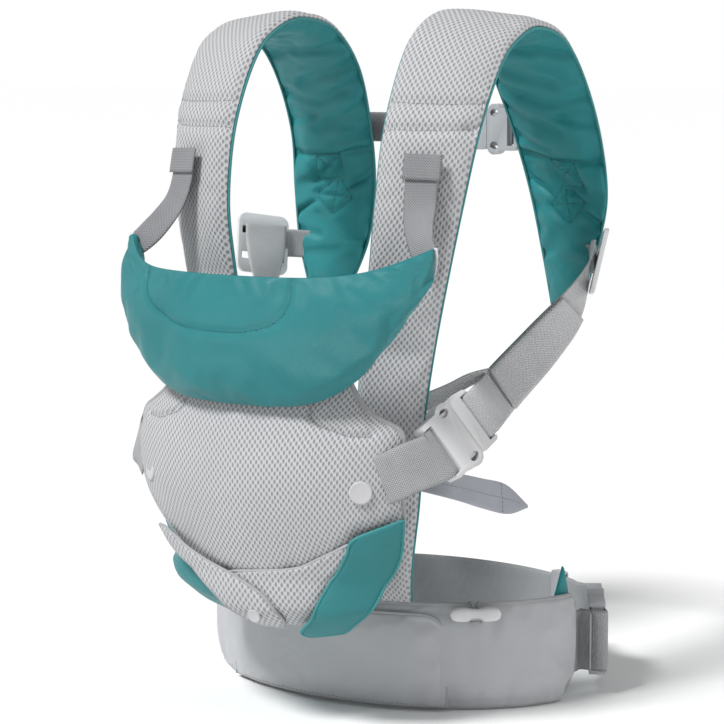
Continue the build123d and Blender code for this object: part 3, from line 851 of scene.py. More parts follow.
def build_belt():
    shares, angles = eased(19), spaced(BELT_PAD_END, 180 - BELT_PAD_END, 110)
    cover = layer(
        "belt_cover", belt_surface,
        lambda s, a: 0.5 + (5.4 * dome(s) + belt_swell(s, a)) * belt_ends(a), lambda s, a: 0.0,
        shares, angles, "belt_satin")
    lining = layer(
        "belt_lining", belt_surface,
        lambda s, a: -0.5 - (5.2 * dome(s) + 0.8 * belt_swell(s, a + 40)) * belt_ends(a), lambda s, a: -0.1,
        shares, angles, "teal_lining")

    def pad_surface(share, angle):
        """The front pad's outline has rounded upper corners."""
        corner, low, mm_per_degree = 20, 2.5, 2.6
        reach = min(angle - BELT_FRONT_PAD_EDGE, 180 - BELT_FRONT_PAD_EDGE - angle) * mm_per_degree
        short = max(0.0, corner - reach)
        high = BELT_HEIGHT - 7 - (corner - math.sqrt(max(0.0, corner**2 - short * short)))
        return belt_place(angle, low + (high - low) * share)

    def pad_face(share, angle):
        place, _ = belt_place(angle, 80 * share)
        sides = dome((angle - BELT_FRONT_PAD_EDGE) / (180 - 2 * BELT_FRONT_PAD_EDGE), 16)
        soft = wave((place.x, place.y, place.z * 0.5), 38, 5.0) * 0.8
        return 6.3 + (2.6 * dome(share, 5) + soft * dome(share, 4)) * sides

    front_angles = [BELT_FRONT_PAD_EDGE + (180 - 2 * BELT_FRONT_PAD_EDGE) * e for e in eased(56, 0.4)]
    front = layer(
        "belt_front_pad", pad_surface, pad_face, lambda s, a: 4.4, shares, front_angles, "belt_satin")
    PADS.extend([(cover, 2.2, 0.03, 3.0), (lining, 2.0, 0.03, 3.0), (front, 2.0, 0.02, 2.5)])

    def finish():
        for obj in (cover, lining, front):
            refine(obj)
        lower_seam = [(-35, 10 + 8 * k) for k in range(56)]
        sew(cover, [lower_seam], 0.8, 1.8)
        pad_line = [(-34.5, 6 + 7.6 * k) for k in range(28)]
        sewn = stitches("belt_front_stitches", front, [pad_line])
        settle(cover, "belt_satin", nodes=("belt_outer_cover", "belt_foam_core"))
        settle(lining, "teal_lining", nodes=("belt_inner_lining",))
        settle(front, "belt_satin", nodes=("belt_front_pad",))
        settle(sewn, "belt_satin")

    def corner_surface(share, t):
        """The lining's pointed corner, standing up behind the belt's end."""
        peak = min(t / 0.4, (1 - t) / 0.6)
        place, out = belt_place(BELT_PAD_END + 0.4 + 8 * t, BELT_HEIGHT - 8 + (6 + 27 * peak) * share)
        return place - out * (4 + 2 * share), out

    corner = layer("belt_lining_corner", corner_surface, lambda s, t: 0.4 + 1.4 * dome(s, 6) * dome(t, 6),
                   lambda s, t: -0.8, eased(13), eased(21), "teal_lining")
    refine(corner)
    settle(corner, "teal_lining")
    edge = outline(belt_surface, BELT_PAD_END, 180 - BELT_PAD_END, 120, 0.06, 18)
    path = [place + Vector((0, 0, 1.9 if place.z < 3 else 0)) for place, _ in edge]
    binding = tube("belt_binding", path, 2.0, "binding_grey", closed=True, out=[out for _, out in edge])
    settle(binding, "belt_satin")
    edge = [pad_surface(s, BELT_FRONT_PAD_EDGE + 0.1) for s in spaced(0, 1, 16)]
    edge += [pad_surface(1, a) for a in front_angles[1:-1]]
    edge += [pad_surface(s, 180 - BELT_FRONT_PAD_EDGE - 0.1) for s in spaced(1, 0, 16)]
    piping = tube("belt_front_piping", [p + o * 6.2 for p, o in edge], 1.25, "binding_grey")
    settle(piping, "belt_satin")
    return finish


class Place:
    """A local frame: an origin and three directions."""

    def __init__(self, origin, x, z):
        self.origin, self.z = Vector(origin), Vector(z).normalized()
        self.x = (Vector(x) - self.z * Vector(x).dot(self.z)).normalized()
        self.y = self.z.cross(self.x)

    def point(self, x, y, z):
        return self.origin + self.x * x + self.y * y + self.z * z


def buckle_sizes(webbing_width):
    """Thickness, socket length and plug length."""
    return 6 + webbing_width * 0.13, 8 + webbing_width * 0.84, 6 + webbing_width * 0.47


def bar_loop(at, bar, toward, half_thick):
    """Webbing places that wrap a buckle bar, from the short leg to the long one."""
    clear = half_thick - 1.5 + 1.3
    steps = [
        (bar + toward * 14, -clear), (bar + toward * 1.0, -clear), (bar - toward * 3.2, -clear + 0.4),
        (bar - toward * 4.7, -clear + 2.4), (bar - toward * 4.7, clear - 2.4),
        (bar - toward * 3.2, clear - 0.4), (bar + toward * 1.0, clear), (bar + toward * 9, clear),
    ]
    return [at.point(run, 0, lift) for run, lift in steps]


def build_waist_buckle():
    place, out = belt_place(WAIST_BUCKLE_AT, WAIST_WEBBING_Z)
    thick, socket_length, plug_length = buckle_sizes(WAIST_WEBBING)
    at = Place(place, Vector((0, 0, 1)).cross(out), out)
    across = Vector((0, 0, 1))
    parts = (("waist_buckle_socket", 0.9), ("waist_buckle_plug", 0.6), ("waist_webbing_keeper", 0.8))
    for node, edge in parts:
        moulded(node, "plastic_grey", edge)
    short = bar_loop(at, -socket_length + 2, -1, thick / 2)
    for angle in (BELT_PAD_END - 5.5, BELT_PAD_END - 3, BELT_PAD_END - 0.4, BELT_PAD_END + 3):
        short.append(belt_place(angle, WAIST_WEBBING_Z)[0])
    # The waist webbing takes the light webbing painted darker as shade.
    left = webbing("waist_webbing_left", short, across, WAIST_WEBBING, "webbing_middle")
    settle(left, "webbing_light", nodes=("belt_webbing_left",))
    long = bar_loop(at, plug_length - 2, 1, thick / 2)
    for angle in spaced(WAIST_BUCKLE_AT - 21, -183 - BELT_PAD_END, 28):
        long.append(belt_place(angle, WAIST_WEBBING_Z)[0])
    right = webbing("waist_webbing_right", long, across, WAIST_WEBBING, "webbing_middle")
    start = at.point(plug_length + 4, 0, 0)
    end = belt_place(WAIST_BUCKLE_AT - 60, WAIST_WEBBING_Z)[0]
    settle(right, "webbing_light", ("waist_plug", "carrier", start, end), ("belt_webbing_right",))


# ---- shoulder straps ----
STRAP_TOP = len(STRAP_INNER_EDGE) - 1


def strap_surface(share, t):
    """A strap's middle sheet: t counts the steps from the belt up and over the shoulder.
    Its outer edge draws in towards the belt."""
    drawn_in = 0.17 * bell(t - 2.0, 1.9) + 0.34 * bell(t, 0.9)
    share *= 1 - drawn_in
    inner, outer = Vector(along(STRAP_INNER_EDGE, t)), Vector(along(STRAP_OUTER_EDGE, t))
    before = Vector(along(STRAP_INNER_EDGE, t - 0.12)) + Vector(along(STRAP_OUTER_EDGE, t - 0.12))
    after = Vector(along(STRAP_INNER_EDGE, t + 0.12)) + Vector(along(STRAP_OUTER_EDGE, t + 0.12))
    out = (after - before).cross(outer - inner).normalized() * -1
    out.z *= min(1.0, t / 0.5)
    return inner + (outer - inner) * share, out.normalized()


def strap_ends(t):
    return dome(t / STRAP_TOP, 60)


def build_straps():
    shares, steps = eased(17), spaced(0, STRAP_TOP, 170)

    def cover_face(share, t):
        place, _ = strap_surface(share, t)
        return 0.4 + (6.0 * dome(share, 5.0) + 0.7 * wave(place, 34) * dome(share, 4)) * strap_ends(t)

    def lining_face(share, t):
        place, _ = strap_surface(share, t)
        creases = 1.7 * wave((place.x * 0.35, place.y, place.z), 17, 2.0) + 0.7 * wave(place, 9, 4.0)
        return -0.4 - (5.6 * dome(share, 4.6) + creases * dome(share, 5)) * strap_ends(t)

    cover = layer(
        "strap_cover_left", strap_surface, cover_face, lambda s, t: 0.0, shares, steps, "spacer_mesh")
    lining = layer(
        "strap_lining_left", strap_surface, lining_face, lambda s, t: -0.1, shares, steps, "teal_lining")
    PADS.extend([(cover, 1.6, 0.01, 2.5), (lining, 2.2, 0.035, 4.0)])
    edge = outline(strap_surface, 0, STRAP_TOP, 240, 0.1, 8)
    binding = bound("strap_binding_left", edge, -1.5, 1.1, "binding_teal")

    def finish():
        refine(cover)
        refine(lining)
        length = strap_length()
        seams = []
        for t in (5.9, 6.24):
            v = length(t)
            seams.append([(-40, v + 1), (-15, v - 1), (15, v - 1), (40, v + 1)])
        sew(cover, seams, 3.0, 3.2)
        cover_stitch = stitches("strap_stitches_left", cover, seams)
        quilting = strap_quilting(length)
        sew(lining, strap_folds(length), 3.0, 4.6)
        sew(lining, quilting, 3.6, 3.2)
        lining_stitch = stitches("strap_quilting_left", lining, quilting, "thread_teal")
        pair(cover, "spacer_mesh", ("strap_mesh_cover", "strap_foam"))
        pair(lining, "teal_lining", ("strap_lining",))
        pair(binding, "teal_lining")
        pair(cover_stitch, "spacer_mesh")
        pair(lining_stitch, "teal_lining")

    return finish


def strap_length():
    """Gives millimetres along the strap's middle for a number of steps along its edges."""
    marks = [0.0]
    places = [strap_surface(0.5, t / 10)[0] for t in range(STRAP_TOP * 10 + 1)]
    for a, b in zip(places, places[1:]):
        marks.append(marks[-1] + (b - a).length)

    def length(t):
        first = min(int(t * 10), len(marks) - 2)
        return marks[first] + (t * 10 % 1) * (marks[first + 1] - marks[first])

    return length


def strap_quilting(length):
    """Seams in the lining: one across the front, and the sewn boxes behind the shoulder."""
    front, high, low = length(6.0), length(12.36), length(13.15)
    routes = [
        [(-40, front), (40, front)], [(-42, high), (42, high)],
        [(-42, low - 22), (-12, low - 4)], [(16, low + 4), (42, low + 20)]]
    for t, tilt, across in ((12.62, 0.0, 2.0), (13.15, 0.6, -2.0)):
        centre = length(t)
        corners = []
        for side, ahead in ((-1, -1), (1, -1), (1, 1), (-1, 1)):
            x, y = 12 * side, 12 * ahead
            corners.append((across + x * math.cos(tilt) - y * math.sin(tilt),
                            centre + x * math.sin(tilt) + y * math.cos(tilt)))
        routes += [corners + corners[:1], [corners[0], corners[2]], [corners[1], corners[3]]]
    return routes


def strap_folds(length):
    """Soft creases in the lining, running in from the edges where the strap bends."""
    routes = []
    for t, side, reach, slope in (
            (6.5, 1, 34, 6), (6.9, -1, 30, -5), (7.5, 1, 44, 9), (8.1, -1, 40, -8), (8.6, 1, 30, -6),
            (9.2, -1, 46, 10), (9.7, 1, 38, 7), (10.2, -1, 52, 6), (10.45, 1, 34, -9),
            (10.8, -1, 58, 12), (11.15, -1, 44, 16), (11.3, 1, 40, 8), (11.55, -1, 50, 20),
            (11.8, 1, 30, -8), (12.05, -1, 36, 10), (13.7, 1, 30, 8), (14.1, -1, 28, -6)):
        v = length(t)
        routes.append([(42 * side, v), ((42 - reach) * side, v + slope)])
    return routes


def build_back_strap():
    height, depth, mouth = 450.0, 61.5, 40.0
    thick, socket_length, plug_length = buckle_sizes(BACK_WEBBING)
    at = Place((mouth, depth, height), (-1, 0, 0), (0, 1, 0))
    across = Vector((0, 0, 1))
    moulded("back_buckle_socket", "plastic_grey", 0.5)
    moulded("back_buckle_plug", "plastic_grey", 0.5)
    short = bar_loop(at, -socket_length + 2, -1, thick / 2)[2:] + [Vector((103, depth + 0.6, height))]
    left = webbing("back_webbing_near", short, across, BACK_WEBBING, "webbing_grey")
    settle(left, "webbing_grey", nodes=("back_webbing_left",))
    long = bar_loop(at, plug_length - 2, 1, thick / 2)
    long += vectors((-30, depth - 0.5, height), (-70, depth + 0.4, height), (-103, depth + 0.6, height))
    right = webbing("back_webbing_far", long, across, BACK_WEBBING, "webbing_grey")
    start, end = at.point(plug_length + 4, 0, 0), Vector((-90, depth, height))
    settle(right, "webbing_grey", ("back_plug", "carrier", start, end), ("back_webbing_right",))


# ---- baby pouch ----
def between(rows, value):
    """The other numbers of a table at a value of its first one."""
    upper = next(i for i, row in enumerate(rows) if row[0] >= value or row is rows[-1])
    low, high = rows[max(upper - 1, 0)], rows[upper]
    share = 0 if low is high else (value - low[0]) / (high[0] - low[0])
    return [a + (b - a) * share for a, b in zip(low[1:], high[1:])]


def ring_place(ring, angle):
    height, half_width, depth, centre_y = ring[:4]
    turn = math.radians(angle)
    place = Vector((half_width * math.cos(turn), centre_y - depth * math.sin(turn), height))
    return place, Vector((math.cos(turn) / half_width, -math.sin(turn) / depth, 0)).normalized()


def panel_place(height, angle):
    return ring_place([height] + between(PANEL_RINGS, height), angle)


def panel_surface(share, t):
    """The pouch. Its lower edge climbs from the middle to both sides, and its side on the
    wearer's right is fuller."""
    last = len(PANEL_RINGS) - 1
    side = math.sqrt((2 * share - 1) ** 2 + 0.01) - 0.1
    climb = 2.45 * (0.55 * side + 0.45 * math.sin(min(side, 1.0) * math.pi / 2) ** 1.3)
    ring = along(PANEL_RINGS, climb + (last - climb) * t / last)
    place, out = ring_place(ring, ring[4] + (180 - 2 * ring[4]) * share)
    fuller = 5.0 * bell(1 - share, 0.16) * bell(t - 4.0, 2.6)
    return place + out * fuller, out


def lathe(name, at, profile, look, sides=40):
    """A turned piece from (radius, height) steps, between two points on its axis."""
    places = [at.point(0, 0, profile[0][1])]
    for radius, height in profile[1:-1]:
        for k in range(sides):
            turn = 2 * math.pi * k / sides
            places.append(at.point(radius * math.cos(turn), radius * math.sin(turn), height))
    places.append(at.point(0, 0, profile[-1][1]))
    rings = len(profile) - 2
    faces = [tuple(1 + i for i in face)[::-1] for face in ring_faces(rings, sides, capped=False)]
    first, last = 1 + (rings - 1) * sides, 1 + rings * sides
    for k in range(sides):
        after = (k + 1) % sides
        faces += [(0, 1 + k, 1 + after), (first + k, last, first + after)]
    return piece(name, places, faces, [(0.0, 0.0)] * len(places), look)


def cap_profile(radius, top, neck=4.0, base=0.0, rim=1.5):
    """A button cap with a dished face and rounded rim on a short neck."""
    return [
        (0, top - 0.35), (radius * 0.45, top - 0.33), (radius * 0.72, top - 0.22),
        (radius * 0.82, top - 0.02), (radius * 0.90, top), (radius * 0.97, top - 0.3),
        (radius, top - 0.85), (radius - 0.1, rim + 0.4),
        (radius - 0.5, rim), (neck + 0.3, rim), (neck, rim - 0.3), (neck, base), (0, base)]


def build_panel():
    last = len(PANEL_RINGS) - 1
    shares, steps = eased(61, 0.35), [last * e for e in eased(44, 0.35)]

    def edges(share, t):
        return dome(share, 14) * dome(t / last, 9)

    def cover_face(share, t):
        place, _ = panel_surface(share, t)
        return -3.2 + (4.2 + 1.1 * wave(place, 46, 1.0) + 0.35 * wave(place, 16, 6.0)) * edges(share, t)

    def lining_face(share, t):
        place, _ = panel_surface(share, t)
        return -3.7 - (2.8 + 0.9 * wave(place, 30, 7.0)) * edges(share, t)

    cover = layer(
        "panel_cover", panel_surface, cover_face, lambda s, t: -3.5, shares, steps, "spacer_mesh", True)
    lining = layer(
        "panel_lining_cloth", panel_surface, lining_face, lambda s, t: -3.6, shares, steps, "spacer_mesh")
    PADS.append((cover, 1.5, 0.01, 2.5))
    edge = outline(panel_surface, 0, last, 60, 0.02, 70)
    binding = bound("panel_binding", edge, -3.4, 2.1, "binding_grey")

    place, out = panel_place(BUTTON_HEIGHT, BUTTON_ANGLE)
    at = Place(place + out * GAP, (0, 0, 1), out)
    profile = cap_profile(BUTTON_RADIUS - 1, 1.5 + BUTTON_THICK)
    button = lathe("bib_button_cap_left", at, profile, "plastic_button")
    pair(button, "plastic_button", ("bib_button",))

    def finish():
        refine(cover)
        refine(lining)
        routes = [arc_route([(u * side, v) for u, v in PANEL_SEAM]) for side in (-1, 1)]
        sew(cover, routes, 2.6, 3.0)
        sewn = stitches("panel_stitches", cover, routes)
        settle(cover, "spacer_mesh", nodes=("panel_mesh", "panel_padding"))
        settle(lining, "spacer_mesh", nodes=("panel_lining",))
        settle(binding, "spacer_mesh")
        settle(sewn, "spacer_mesh")

    return finish


# Each side seam of the pouch, from the upper edge out to the wing.
PANEL_SEAM = [(57, 152), (58.5, 131), (64.5, 120), (77, 112), (92.5, 105), (109, 102)]


def seat_place(fan, angle):
    half_width, depth = between(SEAT_FAN, fan)
    tilt, turn = math.radians(fan), math.radians(angle)
    forward = Vector((0, -math.cos(tilt), -math.sin(tilt)))
    place = Vector((half_width * math.cos(turn), SEAT_AXIS_Y, SEAT_AXIS_Z))
    place += forward * (depth * math.sin(turn))
    out = Vector((math.cos(turn) / half_width, 0, 0)) + forward * (math.sin(turn) / depth)
    return place, out.normalized()


def pouch_place(fan, angle):
    if fan < 0:
        return panel_place(SEAT_AXIS_Z + 0.6 - 1.2 * fan, angle)
    return seat_place(fan, angle)


def cut_cloth(name, cuts, thick, look, binding):
    """A cloth piece lying on the pouch, and the binding round its edge."""
    def surface(share, t):
        fan, start, end, lift = along(cuts, t)
        place, out = pouch_place(fan, start + (end - start) * share)
        return place + out * lift, out

    last = len(cuts) - 1

    def face(share, t):
        place, _ = surface(share, t)
        full = dome(share, 6) * dome(t / last, 8)
        return 0.5 + (thick - 0.7 + 0.5 + wave(place, 18, 2.0)) * full

    def cut(share, t):
        fan, start, end, _ = along(cuts, t)
        return 2.05 * (start + (end - start) * share - 90), fan * (1.2 if fan < 0 else 1.5)

    steps = [last * e for e in eased(34)]
    cloth = layer(name, surface, face, lambda s, t: 0.0, eased(15), steps, look, cut=cut)
    refine(cloth)
    return cloth, bound(name + "_binding", outline(surface, 0, last, 40, 0.05, 12), 0.6, 1.3, binding, 8)


TAB_LIFT = 2.3
OVER, HANG = TAB_LIFT + 3.6, TAB_LIFT + 3.2

# The cloth pieces on the seat, each with its CAD node and body, its thickness, look and
# binding, then its cloth's flat size, how it's held and its area, then its cuts as
# (place down the pouch, first angle, last angle, lift).
SEAT_CLOTHS = (
    ("narrow_tab_upper", "seat_tab_upper", "seat_tab", 2.6, "spacer_mesh", "binding_grey",
     (0.12, 0.055), "laid", 0.0041, [
         (-24, 127, 131, OVER), (-19, 120, 129, OVER), (-14, 115, 127, OVER), (-7, 105, 122, OVER),
         (0, 93, 114, OVER), (6, 84, 108, OVER), (12, 80, 102, OVER), (18, 78, 98, OVER),
         (24, 78, 94, OVER), (30, 81, 89, OVER)]),
    ("narrow_tab_lower", "seat_tab_lower", "carrier", 2.4, "spacer_mesh", "binding_grey",
     (0.085, 0.075), "laid", 0.0041, [
         (-26, 49, 52, TAB_LIFT), (-16, 52, 62, TAB_LIFT), (-8, 55, 72, TAB_LIFT),
         (-1, 58, 98, TAB_LIFT), (8, 61, 96, TAB_LIFT), (16, 64, 90, TAB_LIFT),
         (24, 68, 84, TAB_LIFT), (30, 71, 76, TAB_LIFT)]),
    ("seat_wing_cloth_left", "seat_wing_left", "carrier", 2.2, "teal_seat", "binding_teal",
     (0.055, 0.115), "hung", 0.0043, [
         (-42, 32, 33, HANG), (-31, 32, 49, HANG), (-20, 32, 52, HANG), (-8, 34, 55, HANG + 0.2),
         (0, 37, 58, HANG + 0.6), (10, 40, 62, HANG + 2), (20, 45, 66, HANG + 5),
         (28, 51, 71, HANG + 8), (34, 55, 69, HANG + 10)]),
    ("seat_wing_cloth_right", "seat_wing_right", "carrier", 2.2, "teal_seat", "binding_teal",
     (0.06, 0.022), "laid", 0.00105, [
         (46, 122, 154, TAB_LIFT), (56, 114, 150, TAB_LIFT), (68, 108, 146, TAB_LIFT)]),
)


def build_seat():
    def surface(share, t):
        """The seat's cloth: t 0 is its upper edge, tucked behind the pouch."""
        side = abs(2 * share - 1)
        top = -4 - 34 * side**1.3
        fan = top + (78 - top) * t
        first = 37 + 0.28 * (fan + 45)
        last = 180 - 27 + 13 * max(0, fan) / 78
        place, out = pouch_place(fan, first + (last - first) * share)
        tuck = 5 * min(1, max(0, (10 - fan) / 12))
        return place - out * tuck, out

    def face(share, t):
        place, _ = surface(share, t)
        return (0.6 + 1.2 * wave(place, 24, 3.0)) * dome(share, 12) * dome(t, 8) - 0.4

    bowl = layer("seat_bowl", surface, face, lambda s, t: -4.0, eased(49), eased(36), "teal_seat", True)
    refine(bowl)
    settle(bowl, "teal_seat", nodes=("seat_base",))
    for name, node, body, thick, look, binding, flat, held, area, cuts in SEAT_CLOTHS:
        cloth, edge = cut_cloth(name, cuts, thick, look, binding)
        settle(cloth, look, body, (node,), sheet=(flat, held, ["seat_bowl"], area))
        settle(edge, look, body)
    place, out = seat_place(18, 87)
    at = Place(place + out * (OVER + 2.4), (0, 0, 1), out)
    button = lathe("narrow_tab_button", at, cap_profile(5.6, 3.0, 2.4, 0.0, 1.4), "plastic_button", 32)
    settle(button, "plastic_button", "seat_tab", ("seat_tab_button",))


# ---- head support ----
def head_surface(share, angle):
    """The head support's middle sheet: share runs up it, angle round it. The horn on the
    wearer's left rises more gently than the one on the right."""
    turn = math.radians(angle)
    side = abs(math.cos(turn)) / math.cos(math.radians(HEAD_END_ANGLE))
    top = HEAD_TOP + (HORN_TOP - HEAD_TOP) * (side**5 if angle < 90 else min(1.0, 1.15 * side**9))
    bottom = HEAD_BOTTOM + (HORN_BOTTOM - HEAD_BOTTOM) * side**4.2
    out = Vector((math.cos(turn) / HEAD_HALF_WIDTH, -math.sin(turn) / HEAD_DEPTH, 0)).normalized()
    bulge = (6 + 8 * side**2) * math.sin(math.pi * min(share * 1.2, 1)) * (1 - side**9) - 3 * (1 - share)
    bulge += 8 * side**6
    place = Vector((HEAD_HALF_WIDTH * math.cos(turn), HEAD_CENTRE_Y - HEAD_DEPTH * math.sin(turn),
                    bottom + (top - bottom) * share))
    return place + out * bulge, out


# The half-moon pocket on the head support, up from its middle line and round it.
HEAD_POCKET = [
    (52, 128), (40, 127), (28, 128), (18, 134), (12, 146), (8, 165), (7, 187), (8, 210), (11, 232),
    (16, 251), (22, 266), (29, 277), (38, 284), (50, 288)]


def build_head():
    shares = eased(25, 0.5)
    angles = [HEAD_END_ANGLE + (180 - 2 * HEAD_END_ANGLE) * e for e in eased(84, 0.3)]

    def ends(angle):
        return dome((angle - HEAD_END_ANGLE) / (180 - 2 * HEAD_END_ANGLE), 26)

    def full(share, angle):
        """The filling: an even roll, fatter and blunter in the two horns."""
        horn = abs(math.cos(math.radians(angle))) ** 12
        return dome(share, 2.6 + 4 * horn) * (1 + 0.5 * horn)

    def cover_face(share, angle):
        place, _ = head_surface(share, angle)
        low_roll = 4.2 * bell(share - 0.15, 0.13)
        low_roll -= 2.2 * bell(share - 0.40, 0.10) * math.sin(math.radians(angle)) ** 4
        soft = 2.0 * wave(place, 44, 8.0) + 0.8 * wave((place.x * 0.6, place.y, place.z), 17, 9.0)
        return 0.4 + (6.2 * full(share, angle) + low_roll + soft * dome(share, 4)) * ends(angle)

    def lining_face(share, angle):
        place, _ = head_surface(share, angle)
        return -0.4 - (5.8 * full(share, angle) + 0.8 * wave(place, 26, 5.0) * dome(share, 4)) * ends(angle)

    cover = layer(
        "head_cover", head_surface, cover_face, lambda s, a: 0.0, shares, angles, "teal_headrest")
    lining = layer(
        "head_lining", head_surface, lining_face, lambda s, a: -0.1, shares, angles, "teal_headrest")
    PADS.extend([(cover, 2.6, 0.02, 4.0), (lining, 2.2, 0.03, 4.0)])

    def finish():
        refine(cover)
        refine(lining)
        pocket = arc_route(HEAD_POCKET, 60)
        sew(cover, [pocket], 2.2, 2.4)
        sewn = stitches("head_pocket_stitches", cover, [pocket], "thread_teal", pitch=3.2)
        settle(cover, "teal_headrest", "head_support", ("head_support_cover", "head_support_foam"))
        settle(lining, "teal_headrest", "head_support", ("head_support_lining",))
        settle(sewn, "teal_headrest", "head_support")

    path, outs = [], []
    for share in spaced(0.12, 1.0, 14):
        place = head_surface(share, HEAD_END_ANGLE)[0]
        beyond = (place - head_surface(share, HEAD_END_ANGLE + 1)[0]).normalized()
        path.append(place + beyond * (1.4 + 1.2 * math.sin(math.pi * share)))
        outs.append(beyond)
    loop = tube("horn_tape_left", path, 3.0, "plastic_white", out=outs, flatten=0.4)
    pair(loop, "plastic_white", ("tether_button",), "head_support")
    return finish


def build_tethers():
    across, upright = Vector((0.95, 0.25, 0.0)).normalized(), Vector((0.35, 0.30, 0.89)).normalized()
    run = (
        (111, -156.6, 434, 0), (111.6, -160.5, 414, 0), (114, -166, 398, 0.2), (119, -175, 384, 0.55),
        (127, -184, 371, 0.9), (135, -189, 363, 1.0))
    stations = [(Vector((x, y, z)), blended(across, upright, turned)) for x, y, z, turned in run]
    tether = webbing("tether_left", stations, None, TETHER_WEBBING, "webbing_grey",
                     trim=lambda share: 1 - 0.4 * max(0.0, share - 0.5))
    on_strap = vectors((111.5, -157.0, 438), (111.8, -159.2, 429), (112, -161.2, 419))
    patch = webbing("tether_patch_cloth_left", on_strap, across, TETHER_WEBBING + 4, "webbing_grey", 1.6)
    moving = ("head_support", "carrier", (127, -184, 371), (111, -160, 415))
    pair(tether, "webbing_grey", ("head_tether",), moving)
    pair(patch, "webbing_grey", ("tether_patch",))


# ---- side webbing, buckles and adjusters ----
def side_place():
    across = SIDE_OUT.cross(SIDE_ALONG).normalized()
    return Place(SIDE_MOUTH, SIDE_ALONG, SIDE_ALONG.cross(across))


def side_stations():
    at = side_place()
    thick, _, plug_length = buckle_sizes(SIDE_WEBBING)
    far_across = Vector((0.52, -0.80, 0.16)).normalized()
    run = [(128, -62, 256), (136, -19, 284), (151, 5, 315), (158, 18, 344), (160, 22, 365)]
    loop = bar_loop(at, plug_length - 2, 1, thick / 2)
    stations = [(place, at.y) for place in loop]
    points = [tuple(loop[-1])] + run
    curve = [along(points, (len(points) - 1) * i / 19) for i in range(20)][1:]
    for i, place in enumerate(curve):
        share = min((i + 1) / len(curve) * 1.15, 1) ** 1.8
        stations.append((Vector(place), blended(at.y, far_across, share)))
    return stations


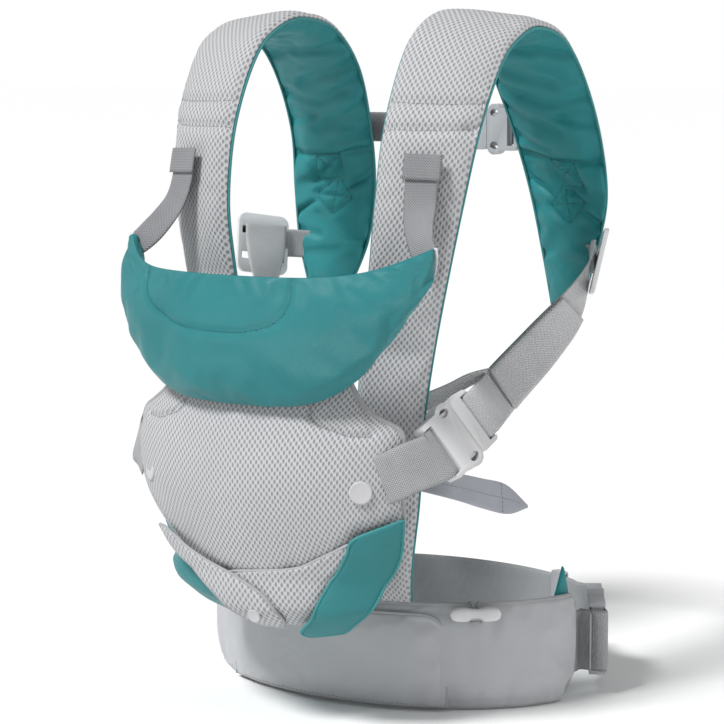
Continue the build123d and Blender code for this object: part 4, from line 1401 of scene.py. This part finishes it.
def build_side():
    at = side_place()
    thick, socket_length, plug_length = buckle_sizes(SIDE_WEBBING)
    for side in ("_left", "_right"):
        for node, edge in (("side_buckle_socket", 0.8), ("side_buckle_plug", 0.6), ("side_adjuster", 0.9)):
            moulded(node + side, "plastic_white", edge)
    sewn = bar_loop(at, -socket_length + 2, -1, thick / 2)[2:]
    for height, angle, lift in ((209, 30, 5.5), (204, 35, 3.2), (200, 40, 2.6)):
        place, out = panel_place(height, angle)
        sewn.append(place + out * lift)
    # The pouch's side webbing takes the light webbing painted darker as shade.
    panel_web = webbing("panel_webbing_near_left", sewn, at.y, SIDE_WEBBING, "webbing_middle")
    stations = side_stations()
    side_web = webbing("side_webbing_run_left", stations, None, SIDE_WEBBING, "webbing_light")
    back_web = webbing("side_webbing_fold_left", stations[-17:-8], None, SIDE_WEBBING, "webbing_light",
                       2 * WEBBING_THICK, lift=3.0)
    stay = vectors((92, -136, 245), (101, -124, 250), (107, -110, 255), (114, -93, 262), (123, -76, 266))
    stay_across = Vector((-0.1, -0.3, 0.95)).normalized()
    stay_web = webbing("stay_strap_web_left", stay, stay_across, STAY_WEBBING, "webbing_light", 1.2,
                       trim=lambda share: 0.78 - 0.34 * share)

    tail = [(88, -132, 187, 16), (112, -112, 181, 21), (122, -84, 172, 24), (128, -57, 164, 23),
            (132, -32, 155, 2)]
    up = Vector((-0.15, 0.12, 1)).normalized()
    out = Vector((0.93, -0.32, 0.18)).normalized()

    def tab_surface(share, t):
        x, y, z, tall = along(tail, t)
        return Vector((x, y, z)) + up * (tall * (share - 0.5)), out

    tab = layer("pull_tab_cloth_left", tab_surface,
                lambda s, t: 0.3 + 0.9 * dome(s, 6) * (1 + 0.5 * wave(tab_surface(s, t)[0], 12)),
                lambda s, t: -0.9 * dome(s, 6), eased(13), spaced(0, 4, 52), "tab_satin")
    refine(tab)
    tab_seam = stitches("pull_tab_stitches_left", tab, [[(0, 6), (0, 108)], [(-12, 84), (12, 84)]])
    tie = vectors((159, 24, 349), (155, 34, 348), (150, 44, 348), (136, 54, 347))
    # The tie takes the light webbing painted darker as shade.
    tie_web = webbing("adjuster_tie_left", tie, Vector((-0.05, 0.1, 0.99)), 24, "webbing_middle")
    start, far = at.point(plug_length + 4, 0, 0), stations[-6][0]
    moving = ("side_plug", "carrier", start, far)
    pair(panel_web, "webbing_light", ("panel_webbing",))
    pair(side_web, "webbing_light", ("side_webbing",), moving)
    pair(back_web, "webbing_light", ("side_webbing_return",), moving)
    pair(tie_web, "webbing_light")
    pair(stay_web, "webbing_light", ("stay_strap",))
    pair(tab, "tab_satin", ("pull_tab",), sheet=((0.026, 0.095), "hung", ["panel_cover"], None))
    pair(tab_seam, "tab_satin")


# ---- belt toggles ----
def build_toggles():
    place, out = belt_place(TOGGLE_ANGLE, TOGGLE_HEIGHT)
    at = Place(place + out * 13.5, Vector((0, 0, 1)).cross(out), out)
    places, coordinates = [], []
    sides, lengths = 24, spaced(-20, 20, 41)
    for x in lengths:
        end = math.sqrt(max(0.0, 1 - (abs(x) / 20.01) ** 7))
        waist = 1 - 0.16 * bell(x, 7.0) + 0.05 * bell(abs(x) - 8, 2.0)
        for k in range(sides):
            turn = 2 * math.pi * k / sides
            y, z = (math.copysign(abs(c) ** 0.7, c) * half * waist * end
                    for c, half in ((math.cos(turn), 5.5), (math.sin(turn), 3.5)))
            places.append(at.point(x, y, z))
            coordinates.append((x, turn * 5))
    bar = piece("toggle_bar_left", places, ring_faces(len(lengths), sides), coordinates, "plastic_white")
    loops = []
    runs = [[(x, 0, -3.2), (x, 4.0, -4.2), (x * 1.3, 7.0, -5.5), (x * 2.4, 7.8, -8.5)] for x in (-1.8, 1.8)]
    runs.append([(-4, -6.4, 0), (-4, -5.0, 3.0), (0, -4.4, 3.9), (4, -5.0, 3.0), (4, -6.4, 0)])
    for points, size in zip(runs, (1.5, 1.5, 0.8)):
        path = [at.point(*along(points, t)) for t in spaced(0, len(points) - 1, 20)]
        loops.append(tube("toggle_loop_left", path, size, "cord_grey", sides=8))
    loop, other, front_loop = loops
    front_loop.name = "toggle_front_loop_left"
    bpy.ops.object.select_all(action="DESELECT")
    loop.select_set(True)
    other.select_set(True)
    bpy.context.view_layer.objects.active = loop
    bpy.ops.object.join()
    pair(bar, "plastic_white", ("belt_toggle",), "toggle")
    pair(front_loop, "cord_grey", (), "toggle")
    pair(loop, "cord_grey", ("toggle_cord",))


make_camera()
make_studio()
finishers = [build_belt(), build_straps(), build_panel(), build_head()]
simulate(PADS)
for finish_pads in finishers:
    finish_pads()
build_waist_buckle()
build_back_strap()
build_seat()
build_tethers()
build_side()
build_toggles()
